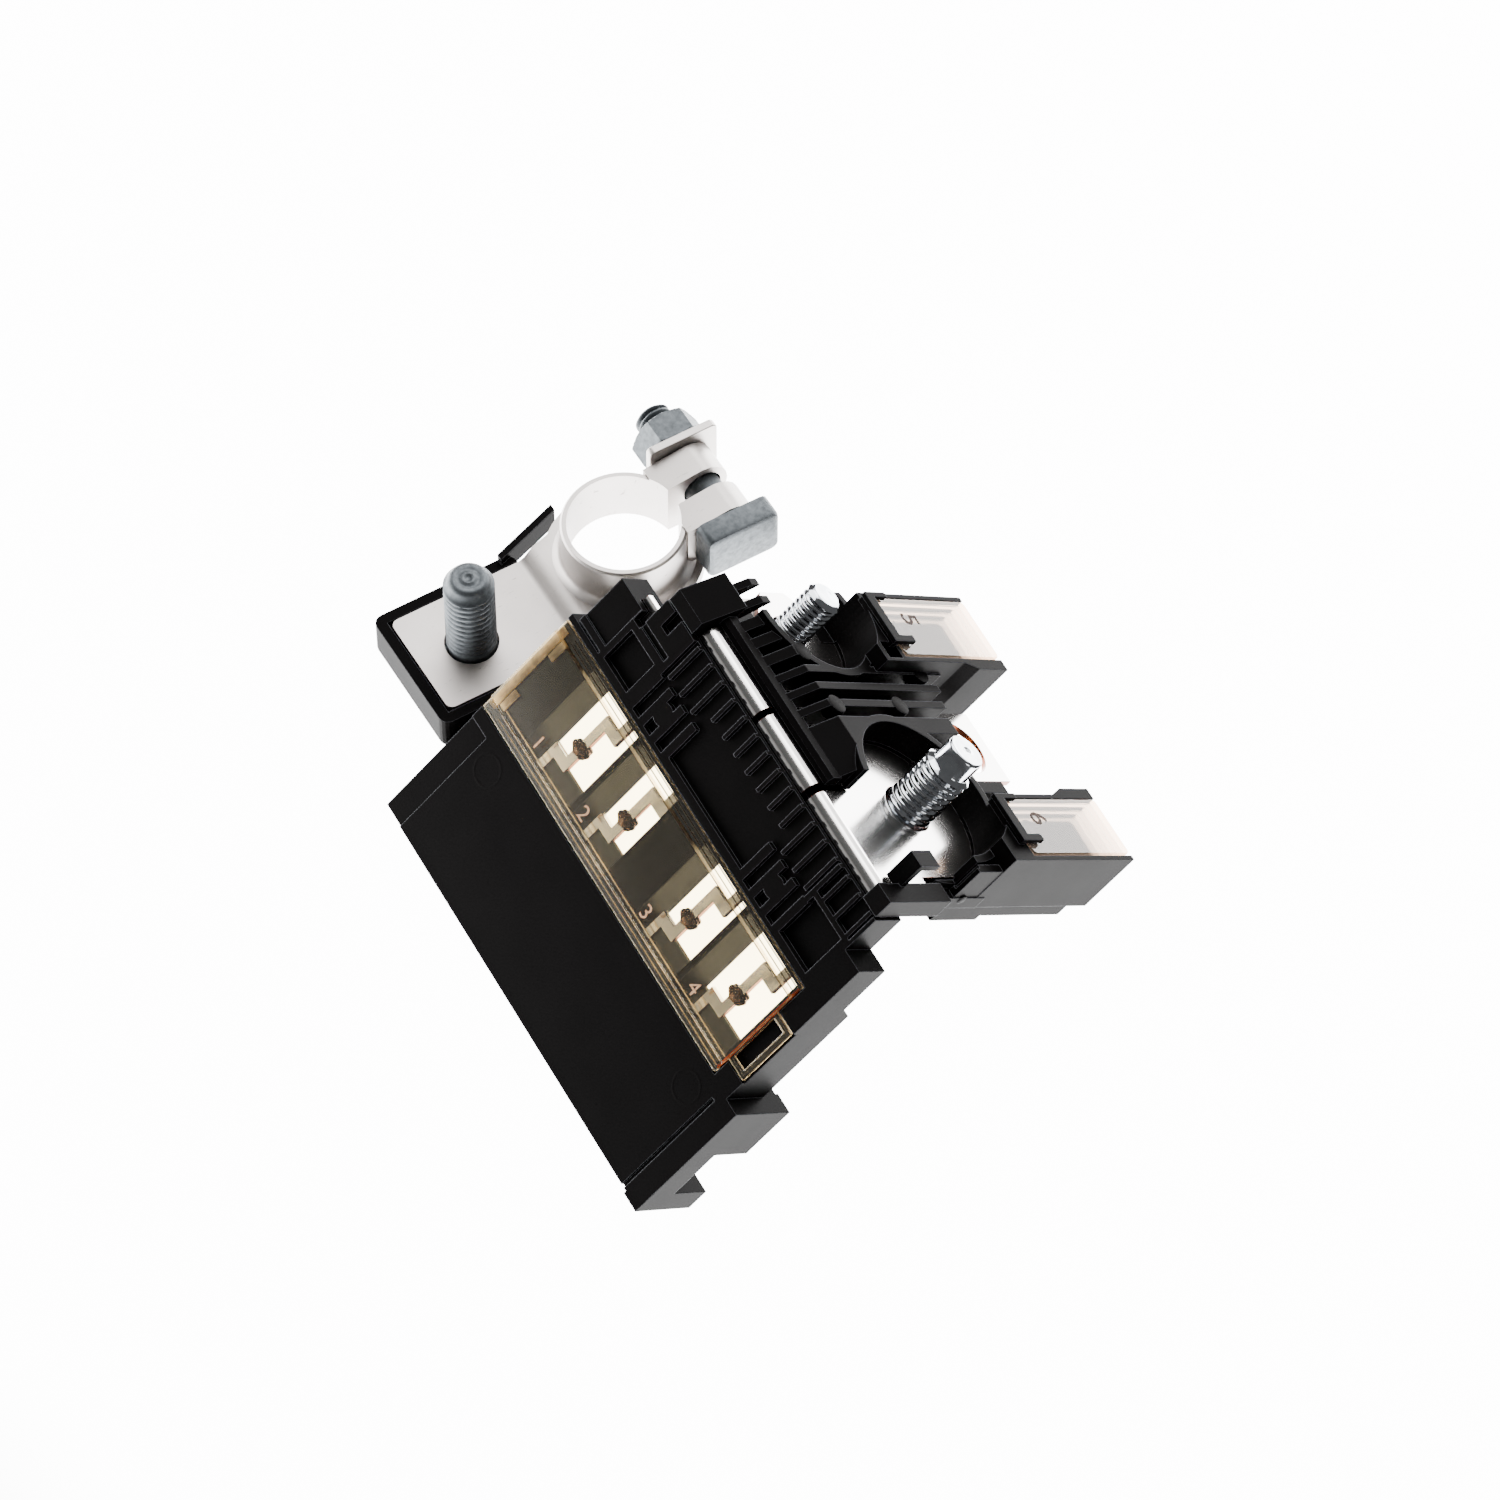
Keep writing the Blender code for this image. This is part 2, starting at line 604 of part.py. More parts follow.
def face_recesses(front):
    """Recesses of the face above the window: pockets, grooves and the ribbed fields."""
    field_floor = FACE_Y + FIELD_DEPTH
    pocket_floor = FACE_Y + POCKET_DEPTH
    above = HOUSING_TOP + 1
    return [
        box_mesh(POCKET, (front, pocket_floor), POCKET_HEIGHT),
        box_mesh(POCKET_2, (front, pocket_floor), POCKET_2_HEIGHT),
        box_mesh(FIELD, (front, field_floor), (FIELD_BOTTOM, above)),
        box_mesh(SIDE_FIELD, (front, field_floor), (SIDE_FIELD_BOTTOM, above)),
        box_mesh((POCKET[0] + 0.8, FIELD[0] - 1.2), (front, FACE_Y + GROOVE_DEPTH), (-9.0, -7.9)),
        box_mesh((POCKET[0] + 3.1, POCKET[0] + 5.0), (front, pocket_floor), (-6.0, HOUSING_TOP + 0.2)),
    ]


def face_ribs():
    """Ribs, bosses and slot walls that stand in the ribbed fields."""
    root = (FACE_Y, FACE_Y + FIELD_DEPTH + 0.4)
    half = FACE_RIB_WIDTH / 2
    ribs = []
    count = int((SIDE_FIELD[1] - half - FACE_RIB_FIRST) / RIB_PITCH) + 1
    for number in range(count):
        x = FACE_RIB_FIRST + number * RIB_PITCH
        low = CENTRE_RIB_BOTTOM if CENTRE_RIBS[0] < x < CENTRE_RIBS[1] else FACE_RIB_BOTTOM
        if x > FIELD[1]:
            low = SIDE_FIELD_BOTTOM - 0.4
        ribs.append(box_mesh((x - half, x + half), root, (low, HOUSING_TOP)))
    for boss_x in (-19.3, 13.6):
        for side in (-1.5, -0.5, 0.5, 1.5):
            x = boss_x + side * RIB_PITCH
            ribs.append(box_mesh((x - 0.75, x + 0.75), root, (FIELD_BOTTOM - 0.3, -10.6)))
        boss = cylinder_mesh(1.9, -root[1], -root[0], (boss_x, -14.0), 24)
        boss.transform(Matrix.Rotation(math.radians(90), 4, 'X'))
        ribs.append(boss)
    ribs.append(box_mesh((-14.6, 9.2), root, (FIELD_BOTTOM - 0.3, FIELD_BOTTOM + 0.7)))
    return ribs


def rib_outline(end):
    """Side view of a rib: it rises from the beam and runs level to its end."""
    low = CLEARANCE
    return [(BEAM_BACK - OVERLAP, low), (end, low), (end, WALL_TOP), (RIB_BEND_Y, WALL_TOP),
            (BEAM_BACK - OVERLAP, BEAM_TOP)]


def bay_ring(centre, radius, wall, low, high):
    """The round wall of a stud bay, as a cylinder to be bored later."""
    return cylinder_mesh(radius + wall, low, high, centre, 64)


def add_top_housing(frame):
    """The moulded top: floor, beam, ribs, two stud bays and two hollow arms."""
    under = -SHEET - CLEARANCE
    floor_front = TOP_ZONE_BACK + CLEARANCE
    floor = [(M6_STUD_POS[0] - 4.0, floor_front), (26.0, floor_front), (26.0, ARM_B[2] + 2),
             (ARM_B[0], ARM_B[2] + 6), (TONGUE[1] + 2.0, 37.0), (THICK_WALL_X + 1.2, THICK_WALL_END),
             (-13.8, 44.1), (-26.0, 44.1), (-26.0, ARM_A[2] + 2), (-28.0, ARM_A[2] - 1)]
    top = add_solid("top_housing", prism_mesh(floor, 'XY', FLOOR_BOTTOM, under), frame, PARTS)
    adds = []
    for arm in (ARM_A, ARM_B):
        adds.append(prism_mesh(arm_outline(arm), 'XY', FLOOR_BOTTOM, ARM_TOP))
    skirt = [(SKIRT_FRONT, SKIRT_LOWER_BOTTOM), (SKIRT_STEP, SKIRT_LOWER_BOTTOM),
             (SKIRT_STEP, SKIRT_BOTTOM), (SKIRT_BACK, SKIRT_BOTTOM), (SKIRT_BACK, under - OVERLAP),
             (ARM_B[2] + 1.0, under - OVERLAP), (ARM_B[2] + 1.0, WALL_TOP - 0.2),
             (SKIRT_FRONT, WALL_TOP - 0.2)]
    adds.append(prism_mesh(skirt, 'YZ', ARM_B[1] - ARM_WALL + 0.1, ARM_B[1] - 0.1))
    adds.append(bay_ring(M8_STUD_POS, M8_BAY_RADIUS, BAY_WALL, under - OVERLAP, WALL_TOP))
    adds.append(bay_ring(M6_STUD_POS, M6_BAY_RADIUS, BAY_WALL, under - OVERLAP, WALL_TOP))
    for x, end in LONG_RIBS:
        adds.append(prism_mesh(rib_outline(end), 'YZ', x - RIB_THICKNESS / 2, x + RIB_THICKNESS / 2))
    adds.append(prism_mesh(rib_outline(THICK_WALL_END), 'YZ', THICK_WALL_X - RIB_THICKNESS / 2,
                           THICK_WALL_X + THICK_WALL))
    for x in SHORT_RIBS:
        adds.append(prism_mesh(rib_outline(M6_STUD_POS[1] - M6_BAY_RADIUS + 3), 'YZ',
                               x - SHORT_RIB_THICKNESS / 2, x + SHORT_RIB_THICKNESS / 2))
    adds.append(prism_mesh(rib_outline(M8_STUD_POS[1] - 6.0), 'YZ', THICK_WALL_X,
                           BEND_SEGMENTS[1][1] + 0.4))
    beam = [(BEAM_FRONT, CLEARANCE), (BEAM_BACK, CLEARANCE), (BEAM_BACK, BEAM_TOP),
            (BEAM_FRONT + 0.6, BEAM_TOP), (BEAM_FRONT, BEAM_TOP - 0.8)]
    adds.append(prism_mesh(beam, 'YZ', BEND_SEGMENTS[0][0] - 1.0, BEND_SEGMENTS[1][1] + 0.6))
    adds.append(box_mesh((-14.0, -8.3), (PLATE_REAR_RAIL + OVERLAP + CLEARANCE + 0.2, 32.0),
                         (FLOOR_BOTTOM + OVERLAP, 2.0)))
    end_block = [(FACE_Y, HOUSING_TOP + CLEARANCE), (BEAM_BACK, HOUSING_TOP + CLEARANCE),
                 (BEAM_BACK, WALL_TOP - 0.6), (FACE_Y, 0.1)]
    adds.append(prism_mesh(end_block, 'YZ', END_BLOCK_LEFT, BEND_SEGMENTS[0][0] - CLEARANCE))
    adds.append(box_mesh((BEND_SEGMENTS[-1][1] + CLEARANCE, END_BLOCK_RIGHT), (FACE_Y, 14.0),
                         (HOUSING_TOP + CLEARANCE, 1.2)))
    combine(top, adds, 'UNION', frame)

    cuts = []
    for outline in plate_outlines(CLEARANCE):
        cuts.append(prism_mesh(outline, 'XY', -SHEET - CLEARANCE, CLEARANCE))
    for left, right in BEND_SEGMENTS:
        cuts.append(box_mesh((left - CLEARANCE, right + CLEARANCE), (-CLEARANCE, BEND_SLOT_END + 1),
                             (-SHEET - CLEARANCE, CLEARANCE)))
    cuts.append(cylinder_mesh(M8_BAY_RADIUS, CLEARANCE - OVERLAP, WALL_TOP + 6, M8_STUD_POS, 64))
    cuts.append(cylinder_mesh(M6_BAY_RADIUS, CLEARANCE - OVERLAP, WALL_TOP + 6, M6_STUD_POS, 64))
    cuts.append(box_mesh((6.5, 25.0), (0.0, M8_STUD_POS[1]), (CLEARANCE - OVERLAP, WALL_TOP + 1)))
    open_side = M6_STUD_POS[0] - M6_BAY_RADIUS - BAY_WALL - 1.0
    cuts.append(box_mesh((open_side, M6_BAY_OPEN_X), (BEAM_BACK, M6_STUD_POS[1]),
                         (CLEARANCE - OVERLAP, WALL_TOP + 1)))
    cuts.append(box_mesh((open_side, M6_BAY_END_X), (BEAM_BACK, M6_STUD_POS[1] + M6_BAY_RADIUS + 3),
                         (FLOOR_BOTTOM - 1, WALL_TOP + 1)))
    cuts.append(cylinder_mesh(M8_RADIUS + HEAD_MARGIN + CLEARANCE, FLOOR_BOTTOM - 1, 0, M8_STUD_POS))
    cuts += arm_cavity(ARM_A) + arm_cavity(ARM_B)
    hollow_right = ARM_A[1] - OVERLAP
    cuts.append(box_mesh((hollow_right - HOLLOW_WIDTH, hollow_right),
                         (ARM_A[2] + 1.0, ARM_A[2] + 4.6), (CLEARANCE, ARM_TOP + 1)))
    cuts.append(box_mesh((LEG_WALL_X - 3, LEG_TAB_END + CLEARANCE), (13.5, 26.8),
                         (FLOOR_BOTTOM - 1, 0.0)))
    combine(top, cuts, 'DIFFERENCE', frame)
    combine(top, arm_lips(ARM_A) + arm_lips(ARM_B) + end_features(), 'UNION', frame)
    return top


def arm_outline(arm):
    """Outline of one arm: its side toward the tongue flares out to an end collar."""
    left, right, front, back = arm
    flare = back - ARM_COLLAR
    ramp = flare - ARM_RAMP
    if right < TONGUE[1]:
        return [(left, front), (right, front), (right, ramp), (right + ARM_FLARE, flare),
                (right + ARM_FLARE, back), (left, back)]
    return [(left, front), (right, front), (right, back), (left - ARM_FLARE, back),
            (left - ARM_FLARE, flare), (left, ramp)]


def arm_lips(arm):
    """Raised lip across the near end of an arm's cover, with two hooks that hold the cover."""
    near = arm[2] + ARM_COVER_FRONT
    front = near - 2.5
    left = (arm[0] + 0.9, arm[0] + 1.8)
    right = (arm[1] - 4.0, arm[1] - 2.8)
    back = near + LIP_REACH
    outline = [(left[0], front), (right[1], front), (right[1], back), (right[0], back),
               (right[0], near - 0.6), (left[1], near - 0.6), (left[1], back), (left[0], back)]
    return [
        prism_mesh(outline, 'XY', ARM_TOP + OVERLAP, ARM_TOP + LIP_TOP),
        box_mesh((left[0] + 0.2, right[1] - 0.2), (front + 0.2, near - 0.8),
                 (ARM_TOP - OVERLAP, ARM_TOP + LIP_TOP - 0.3)),
    ]


def end_features():
    """Pointed fingers and ledge at one end, the hook at the other and the stop tab at the bay."""
    features = []
    half = RIB_THICKNESS / 2
    finger = [(BEAM_BACK - OVERLAP, HOUSING_TOP + CLEARANCE + OVERLAP), (FINGER_TIP, WALL_TOP),
              (FINGER_TIP - 2.0, WALL_TOP), (BEAM_BACK - OVERLAP, BEAM_TOP)]
    for x in FINGER_RIBS:
        features.append(prism_mesh(finger, 'YZ', x - half, x + half))
    features.append(box_mesh((END_BLOCK_LEFT + 0.4, FINGER_RIBS[0]),
                             (BEAM_BACK - OVERLAP, LEDGE_BACK), (CLEARANCE + 0.1, LEDGE_TOP)))
    wall = END_HOOK_FRONT + 1.2
    hook = [(END_HOOK_FRONT, CLEARANCE), (wall, CLEARANCE), (wall, END_HOOK_TOP - 1.0),
            (END_HOOK_REACH, END_HOOK_TOP - 1.0), (END_HOOK_REACH, END_HOOK_TOP),
            (END_HOOK_FRONT, END_HOOK_TOP)]
    features.append(prism_mesh(hook, 'YZ', *END_HOOK))
    ring_back = M8_STUD_POS[1] + M8_BAY_RADIUS + OVERLAP
    tab = [(ring_back, 1.0), (ring_back + 2.5, 1.0), (STOP_TAB_END, WALL_TOP - 2.0),
           (STOP_TAB_END, WALL_TOP - 0.4), (ring_back, WALL_TOP - 0.4)]
    features.append(prism_mesh(tab, 'YZ', *STOP_TAB))
    return features


def arm_cover_box(arm):
    """Seat of an arm's clear cover: X and Y range."""
    return ((arm[0] + ARM_COVER_EDGE, arm[1] - ARM_COVER_EDGE),
            (arm[2] + ARM_COVER_FRONT, arm[3] - 0.4))


def arm_cavity(arm):
    """Hollow of one arm: socket open at the end, window under the cover and the cover's seat."""
    inner = (arm[0] + ARM_WALL, arm[1] - ARM_WALL)
    seat_x, seat_y = arm_cover_box(arm)
    front = socket_front(arm)
    socket = box_mesh(inner, (front, arm[3] + 1), (FLOOR_BOTTOM + ARM_FLOOR, ARM_TOP - 1.6))
    window = box_mesh((seat_x[0] + 0.9, seat_x[1] - 0.9), (max(seat_y[0], front) + 0.9, seat_y[1] + 2),
                      (ARM_TOP - 3, ARM_TOP + 1))
    seat = box_mesh((seat_x[0] - CLEARANCE, seat_x[1] + CLEARANCE),
                    (seat_y[0] - CLEARANCE, arm[3] + 1),
                    (ARM_TOP - COVER_THICKNESS, ARM_TOP + 1))
    return [socket, window, seat]


def add_arm_cover(name, arm, frame):
    """The clear cover of one arm."""
    seat_x, seat_y = arm_cover_box(arm)
    low = ARM_TOP - COVER_THICKNESS + CLEARANCE
    plate = rounded_rectangle(seat_x, seat_y, 0.8)
    return add_solid(name, prism_mesh(plate, 'XY', low, low + COVER_THICKNESS - 0.1), frame, PARTS)


def add_arm_link(name, arm, frame):
    """The fuse strip of one arm: foot on the bus bar's tail, riser and level top."""
    foot = link_foot(arm)
    low = CLEARANCE
    high = LINK_HEIGHT
    t = LINK_THICKNESS
    section = [(foot[0], low), (foot[1], low), (foot[1], high), (LINK_END, high),
               (LINK_END, high + t), (foot[1] - t, high + t), (foot[1] - t, low + t), (foot[0], low + t)]
    seat_x = arm_cover_box(arm)[0]
    span = (seat_x[0] + 1.2, seat_x[1] - 1.2)
    return add_solid(name, prism_mesh(section, 'YZ', *span), frame, PARTS)


def add_stud(name, radius, tip, position, dog_radius, dog_length, under, frame):
    """A press-in stud with its head under the plate."""
    head_top = under - CLEARANCE
    profile = [(0.0, tip), (dog_radius - 0.5, tip), (dog_radius, tip - 0.5),
               (dog_radius, tip - dog_length), (radius, tip - dog_length - (radius - dog_radius)),
               (radius, head_top), (radius + HEAD_MARGIN, head_top),
               (radius + HEAD_MARGIN, head_top - HEAD_THICKNESS), (0.0, head_top - HEAD_THICKNESS)]
    stud = add_solid(name, turned_mesh(profile), frame, PARTS)
    stud.location = Vector((*position, 0.0)) * MM
    return stud


def pad_outline(grow=0.0):
    """Outline of the stud pad in the clamp frame."""
    return rounded_rectangle((PAD[0] - grow, PAD[1] + grow), (PAD[2] - grow, PAD[3] + 3 + grow), 1.2)


def add_clamp_body(frame, block):
    """The clamp: pad, slope, ring plate with collar, split ears and the leg to the block."""
    t = CLAMP_PLATE
    slope = PAD[3]
    section = [(PAD[2] - 1, -PAD_DROP), (slope, -PAD_DROP), (slope + PAD_SLOPE, 0.0), (14.0, 0.0),
               (14.0, -t), (slope + PAD_SLOPE + 0.6, -t), (slope + 0.6, -PAD_DROP - t),
               (PAD[2] - 1, -PAD_DROP - t)]
    body = add_solid("clamp_body", prism_mesh(section, 'YZ', -14.0, 30.0), frame, PARTS)
    high = 1.0
    low = -PAD_DROP - t - 1.0
    blank = add_solid("clamp_blank", prism_mesh(pad_outline(), 'XY', low, high), frame)
    neck = [(PAD[0], slope + 1), (PAD[1], slope + 1), (PAD[1] + 1.0, -4.0), (-10.5, -4.0)]
    leg_end = LEG_WALL_X - RING_CENTRE[0] + 0.6
    leg = [(6.0, LEG_WIDTH[0]), (leg_end, LEG_WIDTH[0]), (leg_end, LEG_WIDTH[1]), (6.0, LEG_WIDTH[1])]
    combine(blank, [
        prism_mesh(neck, 'XY', low, high),
        cylinder_mesh(CLAMP_DISC_RADIUS, low, high, (0.0, 0.0), 64),
        prism_mesh(leg, 'XY', low, high),
    ], 'UNION', frame)
    intersect(body, blank)

    outer = POST_RADIUS + COLLAR_WALL
    collar = turned_mesh([(0.0, COLLAR_HEIGHT), (outer - 0.3, COLLAR_HEIGHT), (outer, COLLAR_HEIGHT - 0.4),
                          (outer, 1.6), (outer + 0.5, 0.6), (outer + 1.6, -0.2),
                          (outer + 1.6, -t + 0.2), (0.0, -t + 0.2)], 64)
    adds = [collar]
    ear = [(POST_RADIUS - 1.5, BOLT_N - EAR_RADIUS)]
    ear += arc((BOLT_W, BOLT_N), EAR_RADIUS, -90, 90, 10) + [(POST_RADIUS - 1.5, BOLT_N + EAR_RADIUS - 1.0)]
    near = SPLIT_GAP / 2
    adds.append(prism_mesh(ear, 'YZ', near, near + EAR_LENGTH))
    adds.append(prism_mesh(ear, 'YZ', -near - EAR_LENGTH, -near))
    slope_of_plate = math.tan(math.radians(CLAMP_TILT_X))
    combine(body, adds + [leg_wall(block, slope_of_plate), leg_tab(block)], 'UNION', frame)
    cuts = [
        cylinder_mesh(POST_RADIUS, low - 1, COLLAR_HEIGHT + 2, (0.0, 0.0), 64),
        box_mesh((-near, near), (POST_RADIUS - 3.0, 16.0), (-t - 2, BOLT_N + EAR_RADIUS + 1)),
        bolt_bore(BOLT_RADIUS + CLEARANCE),
        cylinder_mesh(CLAMP_STUD_RADIUS + CLEARANCE, low - 1, high + 1, CLAMP_STUD_POS),
    ]
    combine(body, cuts, 'DIFFERENCE', frame)
    return body


def leg_wall(block, slope):
    """Upright wall of the leg, as an object carried by the block's frame."""
    y = [RING_CENTRE[1] + v * math.cos(math.radians(CLAMP_TILT_X)) for v in LEG_WIDTH]
    rise = (LEG_WALL_X - RING_CENTRE[0]) * math.tan(math.radians(-CLAMP_TILT_Y))
    low = [RING_CENTRE[2] + (v - RING_CENTRE[1]) * slope + rise - 1.2 for v in y]
    top = -SHEET - CLEARANCE
    outline = [(y[0], low[0]), (y[1], low[1]), (y[1], top), (y[0], top)]
    return add_solid("leg_wall", prism_mesh(outline, 'YZ', LEG_WALL_X - CLAMP_PLATE, LEG_WALL_X), block)


def leg_tab(block):
    """Level tab of the leg under the bus plate, with the hole for the smaller stud."""
    top = -SHEET - CLEARANCE
    y = (M6_STUD_POS[1] - LEG_TAB_HALF, M6_STUD_POS[1] + LEG_TAB_HALF)
    outline = [(LEG_WALL_X - CLAMP_PLATE, y[0]), (LEG_TAB_END, y[0]), (LEG_TAB_END, y[1]),
               (LEG_WALL_X - CLAMP_PLATE, y[1])]
    hole = arc(M6_STUD_POS, M6_RADIUS + CLEARANCE, 0, 360, 24)[:-1]
    tab = add_solid("leg_tab", prism_mesh(outline, 'XY', top - CLAMP_PLATE, top), block)
    group = add_collection("leg_tab_cut", CUTTERS)
    add_solid("leg_tab_hole", prism_mesh(hole, 'XY', top - CLAMP_PLATE - 1, top + 1), block, group)
    boolean = tab.modifiers.new("Hole", 'BOOLEAN')
    boolean.solver = 'EXACT'
    boolean.operand_type = 'COLLECTION'
    boolean.collection = group
    return tab


def bolt_bore(radius):
    """A bore along the clamp bolt's axis."""
    bore = cylinder_mesh(radius, -30.0, 30.0, (0.0, 0.0), 24)
    bore.transform(Matrix.Translation(Vector((0.0, BOLT_W, BOLT_N)) * MM)
                   @ Matrix.Rotation(math.radians(90), 4, 'Y'))
    return bore


def hexagon(flats):
    """Outline of a hexagon across its flats, with a corner on the first axis."""
    return [(flats / math.sqrt(3) * math.cos(math.radians(60 * i)),
             flats / math.sqrt(3) * math.sin(math.radians(60 * i))) for i in range(6)]


ALONG_BOLT = Matrix(((0, 0, 1, 0), (1, 0, 0, 0), (0, 1, 0, 0), (0, 0, 0, 1)))


def on_bolt(name, mesh, frame):
    """Place a piece that was made along Z on the clamp bolt's axis."""
    piece = add_solid(name, mesh, frame, PARTS)
    piece.matrix_local = Matrix.Translation(Vector((0.0, BOLT_W, BOLT_N)) * MM) @ ALONG_BOLT
    return piece


def add_clamp_fasteners(frame):
    """Bolt, washer and nut on the clamp's ears."""
    ear_end = SPLIT_GAP / 2 + EAR_LENGTH
    head = ear_end + CLEARANCE
    across, tall = (side / 2 for side in BOLT_HEAD_SIZE)
    block = rounded_rectangle((-across, across), (-tall, tall), BOLT_HEAD_CORNER)
    bolt = on_bolt("clamp_bolt", prism_mesh(block, 'XY', head, head + BOLT_HEAD), frame)
    shank = turned_mesh([(0.0, head + 1.0), (BOLT_RADIUS, head + 1.0), (BOLT_RADIUS, THREAD_END + 0.7),
                         (BOLT_RADIUS - 0.7, THREAD_END), (0.0, THREAD_END)], 24)
    shank.transform(Matrix.Translation(Vector((0.0, BOLT_W, BOLT_N)) * MM) @ ALONG_BOLT)
    combine(bolt, [shank], 'UNION', frame)

    washer_top = -ear_end - CLEARANCE
    half = WASHER_SIDE / 2
    washer = on_bolt("clamp_washer", prism_mesh(
        rounded_rectangle((-half, half), (CLEARANCE - BOLT_N, half), 1.0), 'XY',
        washer_top - WASHER_THICKNESS, washer_top), frame)
    combine(washer, [bolt_bore(BOLT_RADIUS + CLEARANCE)], 'DIFFERENCE', frame)

    nut_top = washer_top - WASHER_THICKNESS - NUT_GAP
    nut = on_bolt("clamp_nut", prism_mesh(hexagon(HEX_FLATS), 'XY', nut_top - NUT_HEIGHT, nut_top), frame)
    combine(nut, [bolt_bore(BOLT_RADIUS + CLEARANCE)], 'DIFFERENCE', frame)
    return bolt, washer, nut


def add_clamp_stud(frame):
    """The grey stud on the pad, with its head under the pad."""
    base = -PAD_DROP
    under = -PAD_DROP - CLAMP_PLATE - CLEARANCE
    r = CLAMP_STUD_RADIUS
    top = base + CLAMP_STUD_HEIGHT
    profile = [(0.0, top), (r - 1.0, top), (r - 0.9, top - 1.2), (r, top - 2.4), (r, under),
               (r + 2.0, under), (r + 2.0, under - HEAD_THICKNESS), (0.0, under - HEAD_THICKNESS)]
    stud = add_solid("clamp_stud", turned_mesh(profile), frame, PARTS)
    stud.location = Vector((*CLAMP_STUD_POS, 0.0)) * MM
    return stud


def add_clamp_tray(frame):
    """The insulating tray under the pad, with a thin upstand beside the slope."""
    rim = CLEARANCE + TRAY_WALL
    outline = rounded_rectangle((PAD[0] - rim, PAD[1] + rim), (PAD[2] - rim, PAD[3]), 1.6)
    tray = add_solid("clamp_tray", prism_mesh(outline, 'XY', TRAY_BOTTOM, -PAD_DROP - 0.2), frame, PARTS)
    under = -PAD_DROP - CLAMP_PLATE - CLEARANCE
    seat = box_mesh((PAD[0] - CLEARANCE, PAD[1] + CLEARANCE), (PAD[2] - CLEARANCE, PAD[3] + 1),
                    (under, 1.0))
    hollow = cylinder_mesh(CLAMP_STUD_RADIUS + 2.0 + CLEARANCE, under - HEAD_THICKNESS - CLEARANCE,
                           0.0, CLAMP_STUD_POS)
    upstand = [(PAD[0] - rim, PAD[3] - 2.5), (PAD[0] - rim + 1.2, PAD[3] - 2.5), (-12.9, -5.2),
               (-14.1, -5.2)]
    combine(tray, [seat, hollow], 'DIFFERENCE', frame)
    combine(tray, [prism_mesh(upstand, 'XY', -4.5, -PAD_DROP + 1.2)], 'UNION', frame)
    return tray


def colour_pieces():
    """Give each piece its own plain material."""
    black = ((0.014, 0.015, 0.018), 0.38, 0.0, 1.0)
    tin = ((0.78, 0.77, 0.76), 0.22, 1.0, 1.0)
    amber = ((0.85, 0.62, 0.25), 0.12, 0.0, 0.45)
    zinc = ((0.36, 0.37, 0.38), 0.42, 1.0, 1.0)
    bright = ((0.75, 0.76, 0.78), 0.15, 1.0, 1.0)
    clamp = ((0.80, 0.78, 0.76), 0.45, 0.6, 1.0)
    clear = ((0.90, 0.87, 0.80), 0.10, 0.0, 0.35)
    looks = {
        "front_housing": black, "top_housing": black, "clamp_tray": black, "bus_bar": tin,
        "window_cover": amber, "rear_cover": clear, "arm_cover_a": amber, "arm_cover_b": amber,
        "arm_link_a": tin, "arm_link_b": tin, "m8_stud": bright, "m6_stud": bright,
        "clamp_body": clamp, "clamp_stud": zinc, "clamp_bolt": zinc, "clamp_nut": zinc,
        "clamp_washer": clamp,
    }
    for piece in PARTS.objects:
        if piece.type != 'MESH':
            continue
        look = looks.get(piece.name, tin)
        piece.data.materials.append(material(piece.name + "_material", *look))


def main():
    global PARTS, CUTTERS
    clear_scene()
    PARTS = add_collection("battery_terminal_fuse")
    CUTTERS = add_collection("cutters")
    block = add_frame("block_frame", Matrix.Translation(-Vector(RING_CENTRE) * MM))
    clamp = add_frame("clamp_frame", CLAMP_ROTATION)
    add_bus_bar(block)
    add_pellets(block)
    add_window_cover(block)
    add_rear_cover(block)
    add_front_housing(block)
    add_top_housing(block)
    add_arm_cover("arm_cover_a", ARM_A, block)
    add_arm_cover("arm_cover_b", ARM_B, block)
    add_arm_link("arm_link_a", ARM_A, block)
    add_arm_link("arm_link_b", ARM_B, block)
    add_stud("m8_stud", M8_RADIUS, M8_TIP, M8_STUD_POS, M8_DOG_RADIUS, M8_DOG_LENGTH, -SHEET, block)
    add_stud("m6_stud", M6_RADIUS, M6_TIP, M6_STUD_POS, M6_RADIUS - 0.6, 0.8,
             -SHEET - CLEARANCE - CLAMP_PLATE, block)
    add_clamp_body(clamp, block)
    add_clamp_fasteners(clamp)
    add_clamp_stud(clamp)
    add_clamp_tray(clamp)
    colour_pieces()


main()
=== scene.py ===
"""Looks of the battery terminal fuse block: finishes, threads, moulded marks, light and camera."""
import json
import math

import bmesh
import bpy
from mathutils import Matrix, Vector


